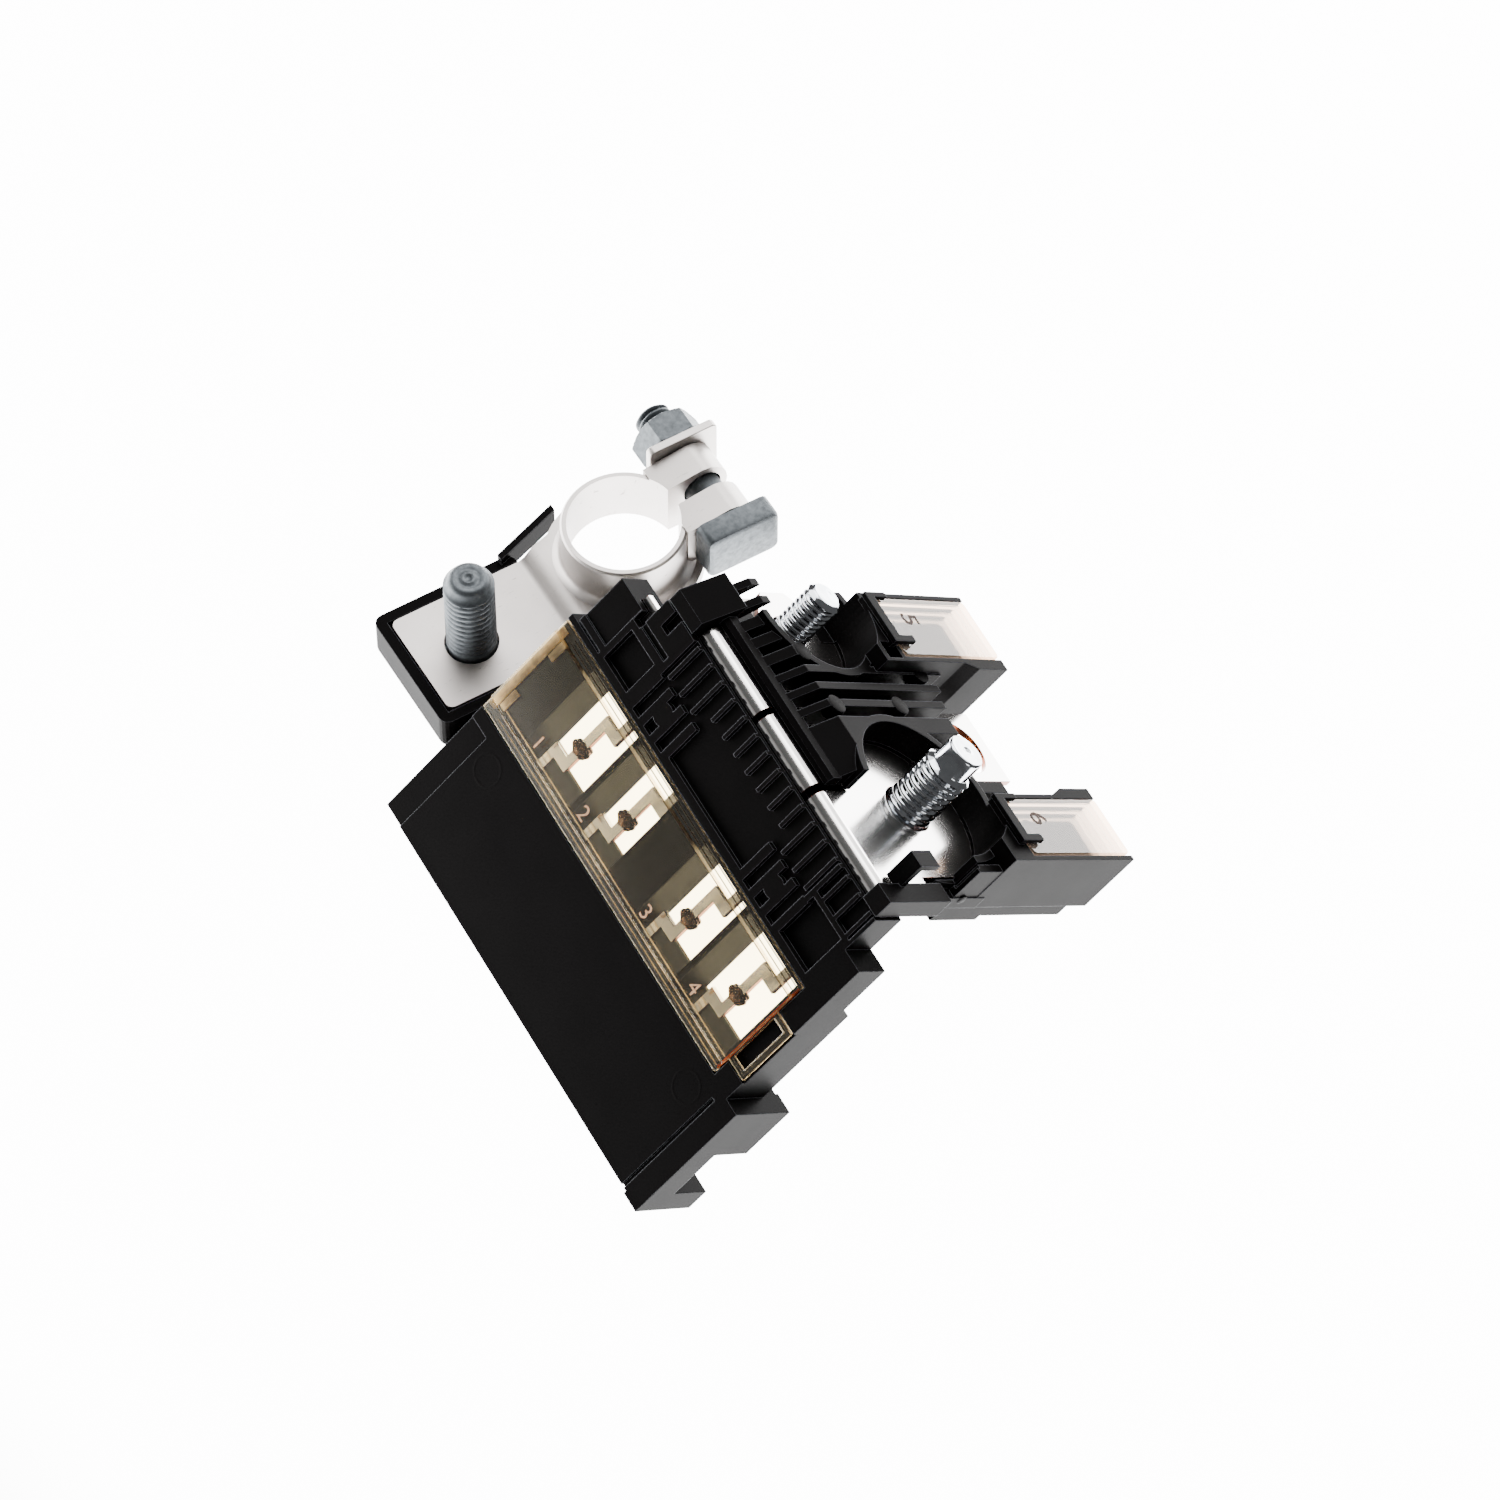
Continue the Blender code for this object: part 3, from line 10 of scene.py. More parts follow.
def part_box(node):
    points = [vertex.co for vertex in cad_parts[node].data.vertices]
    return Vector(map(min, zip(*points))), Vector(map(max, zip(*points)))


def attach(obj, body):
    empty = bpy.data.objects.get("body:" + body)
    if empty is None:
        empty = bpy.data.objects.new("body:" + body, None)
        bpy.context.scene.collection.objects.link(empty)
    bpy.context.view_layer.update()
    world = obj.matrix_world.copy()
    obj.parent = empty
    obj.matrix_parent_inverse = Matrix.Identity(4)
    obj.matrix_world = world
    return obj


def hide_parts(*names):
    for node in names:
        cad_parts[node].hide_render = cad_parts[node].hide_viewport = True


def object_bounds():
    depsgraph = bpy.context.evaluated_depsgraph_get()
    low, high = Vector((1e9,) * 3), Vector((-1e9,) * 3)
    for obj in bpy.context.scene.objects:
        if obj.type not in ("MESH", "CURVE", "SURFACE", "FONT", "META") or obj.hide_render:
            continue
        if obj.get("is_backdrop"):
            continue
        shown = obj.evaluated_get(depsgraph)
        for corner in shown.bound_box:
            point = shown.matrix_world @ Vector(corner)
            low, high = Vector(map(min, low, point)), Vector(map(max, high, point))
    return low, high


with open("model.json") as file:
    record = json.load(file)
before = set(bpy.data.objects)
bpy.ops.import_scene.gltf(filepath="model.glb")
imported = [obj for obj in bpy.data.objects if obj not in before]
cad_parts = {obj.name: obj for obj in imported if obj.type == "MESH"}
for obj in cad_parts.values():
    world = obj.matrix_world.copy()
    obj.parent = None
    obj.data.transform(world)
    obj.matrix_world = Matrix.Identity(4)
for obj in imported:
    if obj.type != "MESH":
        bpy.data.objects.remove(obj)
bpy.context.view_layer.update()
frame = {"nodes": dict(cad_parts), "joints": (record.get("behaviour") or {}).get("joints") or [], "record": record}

bl_info = {
    "name": "Battery Terminal Fuse Block",
    "version": (1, 0, 0),
    "blender": (4, 5, 0),
    "location": "3D View > Sidebar > Fuse Block",
    "description": "Dresses the packed model of a battery terminal fuse block",
    "category": "Object",
}

MM = 0.001


def middle(node):
    """Middle of a CAD node's box."""
    low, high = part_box(node)
    return (low + high) / 2


# The block's own frame: X along the bend, Y toward the arms, Z up, from the bend's middle
M8_PLACE = Vector((9.9, 20.5)) * MM
BLOCK = Vector((middle("m8_stud").x - M8_PLACE.x, middle("m8_stud").y - M8_PLACE.y,
                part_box("bus_bar")[1].z))

# The clamp's own frame: X along the bolt, Y toward the ears, Z along the post
MOUNTS = {mount["name"]: mount for mount in frame["record"]["mounts"]}
SLIDE = next(joint for joint in frame["joints"] if joint["name"] == "washer_slide")
BOLT_LINE = next(joint for joint in frame["joints"] if joint["name"] == "nut_turn")["pos_m"]
CLAMP_X = -Vector(SLIDE["axis"]).normalized()
CLAMP_Z = Vector(MOUNTS["battery_post"]["axis"]).normalized()
CLAMP_Y = CLAMP_Z.cross(CLAMP_X).normalized()
CLAMP = Matrix((CLAMP_X, CLAMP_Y, CLAMP_Z)).transposed().to_4x4()


# Along the bolt: Z runs along the bolt, X across it and Y along the post
BOLT = Matrix((CLAMP_Y, CLAMP_Z, CLAMP_X)).transposed().to_4x4()
BOLT.translation = Vector(BOLT_LINE)


def span(node, matrix):
    """Lowest and highest corner of a CAD node in a frame of its own, in millimetres."""
    inverse = matrix.inverted()
    points = [inverse @ vertex.co for vertex in frame["nodes"][node].data.vertices]
    low = Vector([min(point[i] for point in points) for i in range(3)]) / MM
    high = Vector([max(point[i] for point in points) for i in range(3)]) / MM
    return low, high


def block_point(x, y, z):
    """A point of the block, given in millimetres, in the frame's metres."""
    return BLOCK + Vector((x, y, z)) * MM


# Fixed numbers of the pieces and of the stage, in millimetres where nothing else is said

# Points closer than this are merged, in metres
MERGE = 0.000001
# Radius of the rounded edges of each pressed or moulded sheet, in metres
COVER_ROUNDING = 0.16 * MM
BUS_BAR_ROUNDING = 0.06 * MM
CLAMP_ROUNDING = 0.22 * MM
WASHER_ROUNDING = 0.2 * MM

# Strips inside the window cover: how thick, and how far their middles lie behind its face
STRIP_THICK = 0.45
STRIP_BEHIND = 0.675
END_EDGE_BEHIND = 0.725
# The end band and the hooks: widths, heights and places from the cover's left end
BAND_WIDTH = 1.5
BAND_PLACE = 0.95
BAND_SHORTER = 2.4
HOOK_WIDTH = 1.3
HOOK_HEIGHT = 3.8
HOOK_PLACE = 2.55
HOOK_INSET = 4.4
# The orange end edge, where the cells end and the latch begins
LATCH_LENGTH = 4.2
END_EDGE_SHORTER = 1.6
# The thin lines: places from the upper and lower edges, then thickness, heights and ends
LINE_DEPTHS = (0.9, 1.8, 2.9)
LINE_THICK = 0.2
LINE_BEHIND = 0.6
STEP_HEIGHT = 0.14
LIGHT_LINE_HEIGHT = 0.18
LINE_FROM_LEFT = 3.4
LINE_FROM_EDGE = 0.6

# Numerals: how far they stand proud, and where they lie on the cells and on the arms
NUMERAL_PROUD = 0.02
NUMERAL_HALF_THICK = 0.03
CELL_NUMERAL_LEFT = 4.6
CELL_NUMERAL_UP = 5.0
ARM_NUMERAL_LEFT = 1.5
ARM_NUMERAL_IN = 7.0
# A digit's height as a share of the font's size
DIGIT_SHARE = 0.7

# Shanks: radii, and thread depth as a share of the pitch; the clamp's stud has worn crests
M8_RADIUS = 4.0
M6_RADIUS = 3.0
THREAD_DEPTH = 0.6
WORN_THREAD_DEPTH = 0.38
THREAD_FADE = 0.9
STUD_HEAD_HEIGHT = 1.9
BOLT_HEAD_HEIGHT = 4.1
BOLT_THREAD_END = -8.2
# Heights at which the nut's outline has points, from either end, for the chamfer
NUT_STEPS = (0.0, 0.12, 0.3, 0.5, 0.75, 1.0)

# Marks of the mould on the ribs, on the front face and on the side, in the block's frame
EJECTOR_MARKS = ((-16.4, 11.0), (-6.2, 10.8), (-6.2, 27.4), (-12.6, 38.6))
EJECTOR_RADIUS = 1.7 * MM
EJECTOR_DEPTH = 2.4 * MM
EJECTOR_PROUD = 0.08
RIB_TOP = 5.0
RING_PLACES = (-33.6, 27.1)
RING_HEIGHT = -45.2
FACE_Y = -1.9
# The ring's section, as radius and height over the face: a low ridge whose foot lies in the face
RING_SECTION = ((1.9, -0.3), (1.9, -0.06), (2.56, 0.03), (2.66, 0.03), (3.3, -0.06), (3.3, -0.3),
                (1.9, -0.3))
GATE_PLACE = (25.85, 22.2, -1.7)
GATE_RADIUS = 0.9 * MM
GATE_DEPTH = 0.5 * MM

# The light table: its size, its drop below the part, its brightness, the way in which it
# brightens and where along that way it does, in metres
FLOOR_SIZE = 12.0
FLOOR_DROP = 0.09
FLOOR_GLOW = 14.0
FLOOR_DIM = 0.05
FLOOR_WAY = (-0.4196, 0.9077, 0.0)
FLOOR_LIT_FROM = (-0.20, -0.07)
AIR_STRENGTH = 0.13
# Lamps: name, the way to it, distance and size in metres, and power in watts
LAMPS = (
    ("key_softbox", (-0.577, -0.314, 0.754), 1.2, 0.9, 15.0),
    ("backdrop", (-0.3745, 0.81, 0.451), 1.7, 1.7, 115.0),
    ("overhead", (-0.42, 0.2, 0.88), 1.4, 1.6, 24.0),
    ("side_strip", (0.95, -0.1, 0.35), 1.2, 0.4, 2.0),
)
# The photograph's camera, in the block's frame; its width and focal length are in pixels
PHOTO_WIDTH = 1500
PHOTO_FOCAL_PIXELS = 7031.2
CAMERA_PLACE = (386.487, -848.688, 466.725)
CAMERA_RIGHT = (0.50391, 0.58617, 0.63441)
CAMERA_UP = (-0.77835, -0.01030, 0.62775)
CAMERA_BACK = (0.37450, -0.81012, 0.45105)


# Sizes and colours that a user would change

class FuseBlockSizes(bpy.types.PropertyGroup):
    """Sizes of the dressed pieces."""
    edge: bpy.props.FloatProperty(
        name="Moulded edge", description="Radius of the moulded edges",
        default=0.25 * MM, unit='LENGTH', precision=5)
    m8_pitch: bpy.props.FloatProperty(
        name="M8 pitch", description="Thread pitch of the M8 studs",
        default=1.25 * MM, unit='LENGTH', precision=5)
    m6_pitch: bpy.props.FloatProperty(
        name="M6 pitch", description="Thread pitch of the M6 stud and the clamp bolt",
        default=1.0 * MM, unit='LENGTH', precision=5)
    numeral: bpy.props.FloatProperty(
        name="Numeral height", description="Height of the plain numerals on the covers",
        default=2.6 * MM, unit='LENGTH', precision=5)
    arm_numeral: bpy.props.FloatProperty(
        name="Arm numeral height", description="Height of the plain numerals on the arms",
        default=3.9 * MM, unit='LENGTH', precision=5)


def colour_property(name, description, code):
    """A colour of the panel, given as a hex code."""
    return bpy.props.FloatVectorProperty(
        name=name, description=description, subtype='COLOR', size=3, min=0.0, max=1.0,
        default=linear(code)[:3])


def linear(code):
    """Linear RGBA of an sRGB hex code."""
    channels = [int(code[i:i + 2], 16) / 255 for i in (0, 2, 4)]
    return tuple(c / 12.92 if c <= 0.04045 else ((c + 0.055) / 1.055) ** 2.4 for c in channels) + (1.0,)


class FuseBlockColours(bpy.types.PropertyGroup):
    """Colours of the finishes."""
    nylon: colour_property("Nylon", "Black glass-filled nylon", "090808")
    tin: colour_property("Tin plate", "Tin plate on the copper bus bar", "E4E1DE")
    copper: colour_property("Copper edge", "Cut edge of the plated sheet", "6E3A26")
    amber: colour_property("Amber cover", "Clear amber polycarbonate", "FDF8EA")
    pale: colour_property("Pale cover", "Pale clear polycarbonate", "FAEDE2")
    zinc: colour_property("Bright zinc", "Bright zinc plate of the block's studs", "C9CDD2")
    grey: colour_property("Grey zinc", "Dull zinc flake of the clamp's fasteners", "585C5F")
    clamp: colour_property("Clamp tin", "Matte white tin on the clamp", "BBB5B1")


# Materials

def new_material(name):
    """An empty node material and its output."""
    made = bpy.data.materials.new(name)
    made.use_nodes = True
    tree = made.node_tree
    tree.nodes.clear()
    output = add_node(tree, 'ShaderNodeOutputMaterial', {}, {})
    return made, tree, output


def add_node(tree, kind, settings, links):
    """Add a node: settings are its attributes or input values, links its inputs' sources."""
    node = tree.nodes.new(kind)
    for name, value in settings.items():
        if isinstance(name, str) and name not in node.inputs:
            setattr(node, name, value)
        else:
            node.inputs[name].default_value = value
    for name, source in links.items():
        tree.links.new(source, node.inputs[name])
    return node


def colours():
    """The panel's colours as RGBA tuples."""
    group = bpy.context.scene.fuse_block_colours
    return {key: (*getattr(group, key), 1.0) for key in FuseBlockColours.__annotations__}


def object_point(tree):
    """Object coordinates, in metres in the frame."""
    return add_node(tree, 'ShaderNodeTexCoord', {}, {}).outputs["Object"]


def grain(tree, point, size, detail=2.0, rough=0.5):
    """Noise whose grains are about a given size in metres."""
    return add_node(tree, 'ShaderNodeTexNoise',
                    {"Scale": 1.0 / size, "Detail": detail, "Roughness": rough}, {"Vector": point})


def ramp(tree, source, stops, interpolation='LINEAR'):
    """A colour ramp with the given (place, colour) stops."""
    node = add_node(tree, 'ShaderNodeValToRGB', {}, {"Fac": source})
    node.color_ramp.interpolation = interpolation
    elements = node.color_ramp.elements
    while len(elements) < len(stops):
        elements.new(0.5)
    for element, (place, colour) in zip(elements, stops):
        element.position = place
        element.color = colour
    return node


def grey(value):
    """A grey RGBA colour."""
    return (value, value, value, 1.0)


def glass_filled_nylon():
    """Glass-filled nylon 66, moulded: near black, with a soft sheen and fine flow grain.

    Round edges catch the light as thin grey lines: the rounding of the normals gives
    part of them, and a painted highlight lightens the colour along every edge.
    """
    made, tree, output = new_material("glass_filled_nylon")
    point = object_point(tree)
    base = colours()["nylon"]
    cloud = grain(tree, point, 9.0 * MM, 3.0)
    pale = tuple(c * 1.25 for c in base[:3]) + (1.0,)
    colour = ramp(tree, cloud.outputs["Fac"], [(0.3, base), (0.8, pale)])
    fine = grain(tree, point, 0.25 * MM, 2.0)
    rough = ramp(tree, cloud.outputs["Fac"], [(0.2, grey(0.40)), (0.9, grey(0.46))])
    soft = add_node(tree, 'ShaderNodeBevel',
                    {"samples": 6, "Radius": bpy.context.scene.fuse_block_sizes.edge}, {})
    hard = add_node(tree, 'ShaderNodeNewGeometry', {}, {}).outputs["True Normal"]
    agree = add_node(tree, 'ShaderNodeVectorMath', {"operation": 'DOT_PRODUCT'},
                     {0: soft.outputs["Normal"], 1: hard})
    # Painted highlight: where the rounded normal turns from the flat one, the colour is lightened to a pale grey
    # along every edge
    rim = ramp(tree, agree.outputs["Value"], [(0.72, grey(1.0)), (0.97, grey(0.0))])
    painted_edge_highlight = add_node(tree, 'ShaderNodeMix', {"data_type": 'RGBA', 7: linear("5C5D61")},
                    {0: rim.outputs["Color"], 6: colour.outputs["Color"]})
    bump = add_node(tree, 'ShaderNodeBump', {"Strength": 0.05, "Distance": 0.02 * MM},
                    {"Height": fine.outputs["Fac"], "Normal": soft.outputs["Normal"]})
    shader = add_node(tree, 'ShaderNodeBsdfPrincipled', {"Specular IOR Level": 0.009},
                      {"Base Color": painted_edge_highlight.outputs[2], "Roughness": rough.outputs["Color"],
                       "Normal": bump.outputs["Normal"]})
    tree.links.new(shader.outputs["BSDF"], output.inputs["Surface"])
    return made


def tin_plated_copper(name="tin_plated_copper", cut_shows=1.0):
    """Copper strip with bright tin plate, stamped: mirror-like faces, bare brown cut edges."""
    made, tree, output = new_material(name)
    point = object_point(tree)
    pick = colours()
    normal = add_node(tree, 'ShaderNodeNewGeometry', {}, {}).outputs["True Normal"]
    part = add_node(tree, 'ShaderNodeSeparateXYZ', {}, {"Vector": normal})
    place = add_node(tree, 'ShaderNodeSeparateXYZ', {}, {"Vector": point})
    across = add_node(tree, 'ShaderNodeMath', {"operation": 'ABSOLUTE'}, {0: part.outputs["X"]})
    cut_x = add_node(tree, 'ShaderNodeMath', {"operation": 'GREATER_THAN', 1: 0.35}, {0: across.outputs[0]})
    level = add_node(tree, 'ShaderNodeMath', {"operation": 'ABSOLUTE'}, {0: part.outputs["Z"]})
    steep = add_node(tree, 'ShaderNodeMath', {"operation": 'LESS_THAN', 1: 0.3}, {0: level.outputs[0]})
    behind = add_node(tree, 'ShaderNodeMath', {"operation": 'GREATER_THAN', 1: BLOCK.y + 2.2 * MM},
                      {0: place.outputs["Y"]})
    cut_y = add_node(tree, 'ShaderNodeMath', {"operation": 'MULTIPLY'},
                     {0: steep.outputs[0], 1: behind.outputs[0]})
    cut = add_node(tree, 'ShaderNodeMath', {"operation": 'MAXIMUM'},
                   {0: cut_x.outputs[0], 1: cut_y.outputs[0]})
    bare = add_node(tree, 'ShaderNodeMath', {"operation": 'MULTIPLY', 1: cut_shows}, {0: cut.outputs[0]})
    colour = add_node(tree, 'ShaderNodeMix', {"data_type": 'RGBA', 6: pick["tin"], 7: pick["copper"]},
                      {0: bare.outputs[0]})
    roll = add_node(tree, 'ShaderNodeMapping', {"Scale": (4.0, 4.0, 0.6)}, {"Vector": point})
    lines = grain(tree, roll.outputs["Vector"], 1.2 * MM, 3.0)
    rough = ramp(tree, lines.outputs["Fac"], [(0.3, grey(0.14)), (0.8, grey(0.18))])
    bump = add_node(tree, 'ShaderNodeBump', {"Strength": 0.02, "Distance": 0.01 * MM},
                    {"Height": lines.outputs["Fac"]})
    shader = add_node(tree, 'ShaderNodeBsdfPrincipled', {"Metallic": 1.0},
                      {"Base Color": colour.outputs[2], "Roughness": rough.outputs["Color"],
                       "Normal": bump.outputs["Normal"]})
    tree.links.new(shader.outputs["BSDF"], output.inputs["Surface"])
    return made


def tin_plated_link():
    """The arms' fuse links, tin plated all over: no bare copper shows."""
    return tin_plated_copper("tin_plated_link", 0.0)


def clear_polycarbonate(name, flat, tint, edge, haze):
    """Polycarbonate, moulded: clear and tinted, with a thin haze and a deeper colour along its edges.

    Its flat walls face along one axis; whatever faces another way is an edge
    and gathers light.
    """
    made, tree, output = new_material(name)
    point = object_point(tree)
    normal = add_node(tree, 'ShaderNodeNewGeometry', {}, {}).outputs["True Normal"]
    part = add_node(tree, 'ShaderNodeSeparateXYZ', {}, {"Vector": normal})
    facing = add_node(tree, 'ShaderNodeMath', {"operation": 'ABSOLUTE'}, {0: part.outputs[flat]})
    side = add_node(tree, 'ShaderNodeMath', {"operation": 'LESS_THAN', 1: 0.9}, {0: facing.outputs[0]})
    waves = grain(tree, point, 14.0 * MM, 1.0)
    flow = ramp(tree, waves.outputs["Fac"],
                [(0.3, tint), (0.8, tuple(c * 0.97 for c in tint[:3]) + (1.0,))])
    through = add_node(tree, 'ShaderNodeBsdfTransparent', {}, {"Color": flow.outputs["Color"]})
    mist = add_node(tree, 'ShaderNodeBsdfDiffuse', {"Color": edge}, {})
    clear = add_node(tree, 'ShaderNodeMixShader', {0: haze},
                     {1: through.outputs["BSDF"], 2: mist.outputs["BSDF"]})
    gloss = add_node(tree, 'ShaderNodeBsdfAnisotropic', {"Roughness": 0.06}, {})
    mirror = add_node(tree, 'ShaderNodeFresnel', {"IOR": 1.35}, {})
    face = add_node(tree, 'ShaderNodeMixShader', {},
                    {0: mirror.outputs["Fac"], 1: clear.outputs["Shader"], 2: gloss.outputs["BSDF"]})
    deep = add_node(tree, 'ShaderNodeBsdfTransparent', {"Color": edge}, {})
    lit = add_node(tree, 'ShaderNodeBsdfTranslucent', {"Color": edge}, {})
    rim = add_node(tree, 'ShaderNodeMixShader', {0: 0.3}, {1: deep.outputs["BSDF"], 2: lit.outputs["BSDF"]})
    mix = add_node(tree, 'ShaderNodeMixShader', {},
                   {0: side.outputs[0], 1: face.outputs["Shader"], 2: rim.outputs["Shader"]})
    tree.links.new(mix.outputs["Shader"], output.inputs["Surface"])
    return made


def amber_polycarbonate():
    """The window cover's polycarbonate: the eye reads smoky amber over black, cream over light."""
    return clear_polycarbonate("amber_polycarbonate", "Y", colours()["amber"], linear("F5E4C4"), 0.010)


def rear_polycarbonate():
    """The rear cover's polycarbonate, seen only through the cells: it passes the light as cream."""
    return clear_polycarbonate("rear_polycarbonate", "Y", colours()["amber"], linear("F5E4C4"), 0.0)


def pale_polycarbonate():
    """The arm covers' polycarbonate: a pale pinkish veil over the metal below."""
    return clear_polycarbonate("pale_polycarbonate", "Z", colours()["pale"], linear("F3DCC8"), 0.12)


def plated_steel(name, colour, low, high, spots, bump_strength):
    """Plated steel: cloudy roughness between two values, with small spots."""
    made, tree, output = new_material(name)
    point = object_point(tree)
    cloud = grain(tree, point, spots, 4.0, 0.6)
    dark = tuple(c * 0.78 for c in colour[:3]) + (1.0,)
    shade = ramp(tree, cloud.outputs["Fac"], [(0.25, dark), (0.6, colour)])
    rough = ramp(tree, cloud.outputs["Fac"], [(0.25, grey(high)), (0.75, grey(low))])
    bump = add_node(tree, 'ShaderNodeBump', {"Strength": bump_strength, "Distance": 0.03 * MM},
                    {"Height": cloud.outputs["Fac"]})
    shader = add_node(tree, 'ShaderNodeBsdfPrincipled', {"Metallic": 1.0},
                      {"Base Color": shade.outputs["Color"], "Roughness": rough.outputs["Color"],
                       "Normal": bump.outputs["Normal"]})
    tree.links.new(shader.outputs["BSDF"], output.inputs["Surface"])
    return made


def bright_zinc():
    """Bright zinc plate, rolled threads: mirror-like, with a cool tone."""
    return plated_steel("bright_zinc", colours()["zinc"], 0.05, 0.14, 2.0 * MM, 0.05)


def grey_zinc_flake():
    """Zinc flake coat, dipped: dull mid grey with a mottled grain."""
    return plated_steel("grey_zinc_flake", colours()["grey"], 0.45, 0.62, 0.9 * MM, 0.35)


def crimped_tin():
    """Tin drops pressed on copper: dark pinkish metal, dented."""
    return plated_steel("crimped_tin", linear("8A6F66"), 0.18, 0.35, 0.7 * MM, 0.6)


def matte_tin():
    """Matte tin on pressed copper alloy: white, soft sheen, with fine scratches and specks."""
    made, tree, output = new_material("matte_tin")
    point = object_point(tree)
    base = colours()["clamp"]
    cloud = grain(tree, point, 6.0 * MM, 3.0)
    shade = ramp(tree, cloud.outputs["Fac"],
                 [(0.3, tuple(c * 0.9 for c in base[:3]) + (1.0,)), (0.7, base)])
    stretch = add_node(tree, 'ShaderNodeMapping', {"Scale": (1.0, 0.12, 0.12), "Rotation": (0.7, 0.2, 0.5)},
                       {"Vector": point})
    scratch = grain(tree, stretch.outputs["Vector"], 0.35 * MM, 3.0, 0.7)
    lines = ramp(tree, scratch.outputs["Fac"], [(0.66, grey(0.0)), (0.71, grey(1.0))])
    colour = add_node(tree, 'ShaderNodeMix', {"data_type": 'RGBA', 7: linear("8C8682")},
                      {0: lines.outputs["Color"], 6: shade.outputs["Color"]})
    speck = grain(tree, point, 0.5 * MM, 2.0)
    bump = add_node(tree, 'ShaderNodeBump', {"Strength": 0.15, "Distance": 0.03 * MM},
                    {"Height": speck.outputs["Fac"]})
    shader = add_node(tree, 'ShaderNodeBsdfPrincipled', {"Metallic": 0.85, "Roughness": 0.42},
                      {"Base Color": colour.outputs[2], "Normal": bump.outputs["Normal"]})
    tree.links.new(shader.outputs["BSDF"], output.inputs["Surface"])
    return made


def glowing_edge(name, colour):
    """Polycarbonate at a thin edge, which gathers the light and shows it deep in colour."""
    made, tree, output = new_material(name)
    point = object_point(tree)
    streak = grain(tree, point, 1.5 * MM, 2.0)
    deep = tuple(c * 0.7 for c in colour[:3]) + (1.0,)
    shade = ramp(tree, streak.outputs["Fac"], [(0.35, deep), (0.65, colour)])
    through = add_node(tree, 'ShaderNodeBsdfTransparent', {}, {"Color": shade.outputs["Color"]})
    lit = add_node(tree, 'ShaderNodeBsdfTranslucent', {}, {"Color": shade.outputs["Color"]})
    mist = add_node(tree, 'ShaderNodeBsdfDiffuse', {}, {"Color": shade.outputs["Color"]})
    body = add_node(tree, 'ShaderNodeMixShader', {0: 0.8}, {1: lit.outputs["BSDF"], 2: mist.outputs["BSDF"]})
    mix = add_node(tree, 'ShaderNodeMixShader', {0: 0.85},
                   {1: through.outputs["BSDF"], 2: body.outputs["Shader"]})
    tree.links.new(mix.outputs["Shader"], output.inputs["Surface"])
    return made


def golden_edge():
    """The window cover's left end, golden where its wall is seen end on."""
    return glowing_edge("golden_edge", linear("FFEBC4"))


def orange_edge():
    """The window cover's right end, orange where its wall is seen end on."""
    return glowing_edge("orange_edge", linear("D0602C"))


def smoky_line():
    """A moulded step in the cover: seen on edge it darkens to a thin brown line."""
    return glowing_edge("smoky_line", linear("4A3A2C"))


def numeral_ink(name="numeral_ink", deep="9A7256", pale="C09A78"):
    """Hot-stamped copper-brown numerals: matte against the clear cover."""
    made, tree, output = new_material(name)
    point = object_point(tree)
    wear = grain(tree, point, 0.4 * MM, 3.0)
    colour = ramp(tree, wear.outputs["Fac"], [(0.35, linear(deep)), (0.65, linear(pale))])
    shader = add_node(tree, 'ShaderNodeBsdfPrincipled', {"Roughness": 0.6, "Specular IOR Level": 0.05},
                      {"Base Color": colour.outputs["Color"]})
    tree.links.new(shader.outputs["BSDF"], output.inputs["Surface"])
    return made


def dark_numeral_ink():
    """The same print over bright metal, where it reads as dark brown."""
    return numeral_ink("dark_numeral_ink", "24140C", "38221A")


def studio_floor():
    """Opal acrylic lit from below, as on a photographer's light table: a plain white ground.

    It is lit below and behind the piece, where the photograph shows it, and
    falls off toward the front, so that the black front face stays black.
    """
    made, tree, output = new_material("studio_floor")
    point = object_point(tree)
    cloud = grain(tree, point, 0.6, 2.0)
    colour = ramp(tree, cloud.outputs["Fac"], [(0.3, linear("666666")), (0.7, linear("6E6E6E"))])
    along = add_node(tree, 'ShaderNodeVectorMath', {"operation": 'DOT_PRODUCT', 1: FLOOR_WAY}, {0: point})
    lit = add_node(tree, 'ShaderNodeMapRange',
                   {"interpolation_type": 'SMOOTHSTEP',
                    "From Min": FLOOR_LIT_FROM[0], "From Max": FLOOR_LIT_FROM[1],
                    "To Min": FLOOR_DIM, "To Max": FLOOR_GLOW}, {"Value": along.outputs["Value"]})
    shader = add_node(tree, 'ShaderNodeBsdfPrincipled',
                      {"Roughness": 0.9, "Emission Color": linear("FFFFFF")},
                      {"Base Color": colour.outputs["Color"], "Emission Strength": lit.outputs["Result"]})
    tree.links.new(shader.outputs["BSDF"], output.inputs["Surface"])
    return made


# Each finish's material, made once and kept under the function that makes it
MADE = {}


def finish_of(make):
    """A finish's material, made once."""
    if make not in MADE:
        MADE[make] = make()
    return MADE[make]


def dress(node, make):
    """Give a CAD node its finish."""
    target = frame["nodes"][node]
    target.data.materials.clear()
    target.data.materials.append(finish_of(make))


# Modelling helpers

def deselect_all():
    """Leave edit mode and clear the selection."""
    if bpy.context.object and bpy.context.object.mode != 'OBJECT':
        bpy.ops.object.mode_set(mode='OBJECT')
    bpy.ops.object.select_all(action='DESELECT')


def settle(piece, name, matrix, body, make, replaced=()):
    """Name a finished piece, put its place into its mesh, and let it ride."""
    deselect_all()
    piece.name = name
    piece.data.name = name
    piece.matrix_world = matrix @ piece.matrix_world
    bpy.context.view_layer.objects.active = piece
    piece.select_set(True)
    bpy.ops.object.transform_apply(location=True, rotation=True, scale=True)
    piece.data.materials.clear()
    piece.data.materials.append(finish_of(make))
    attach(piece, body)
    if replaced:
        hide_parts(*replaced)
    return piece


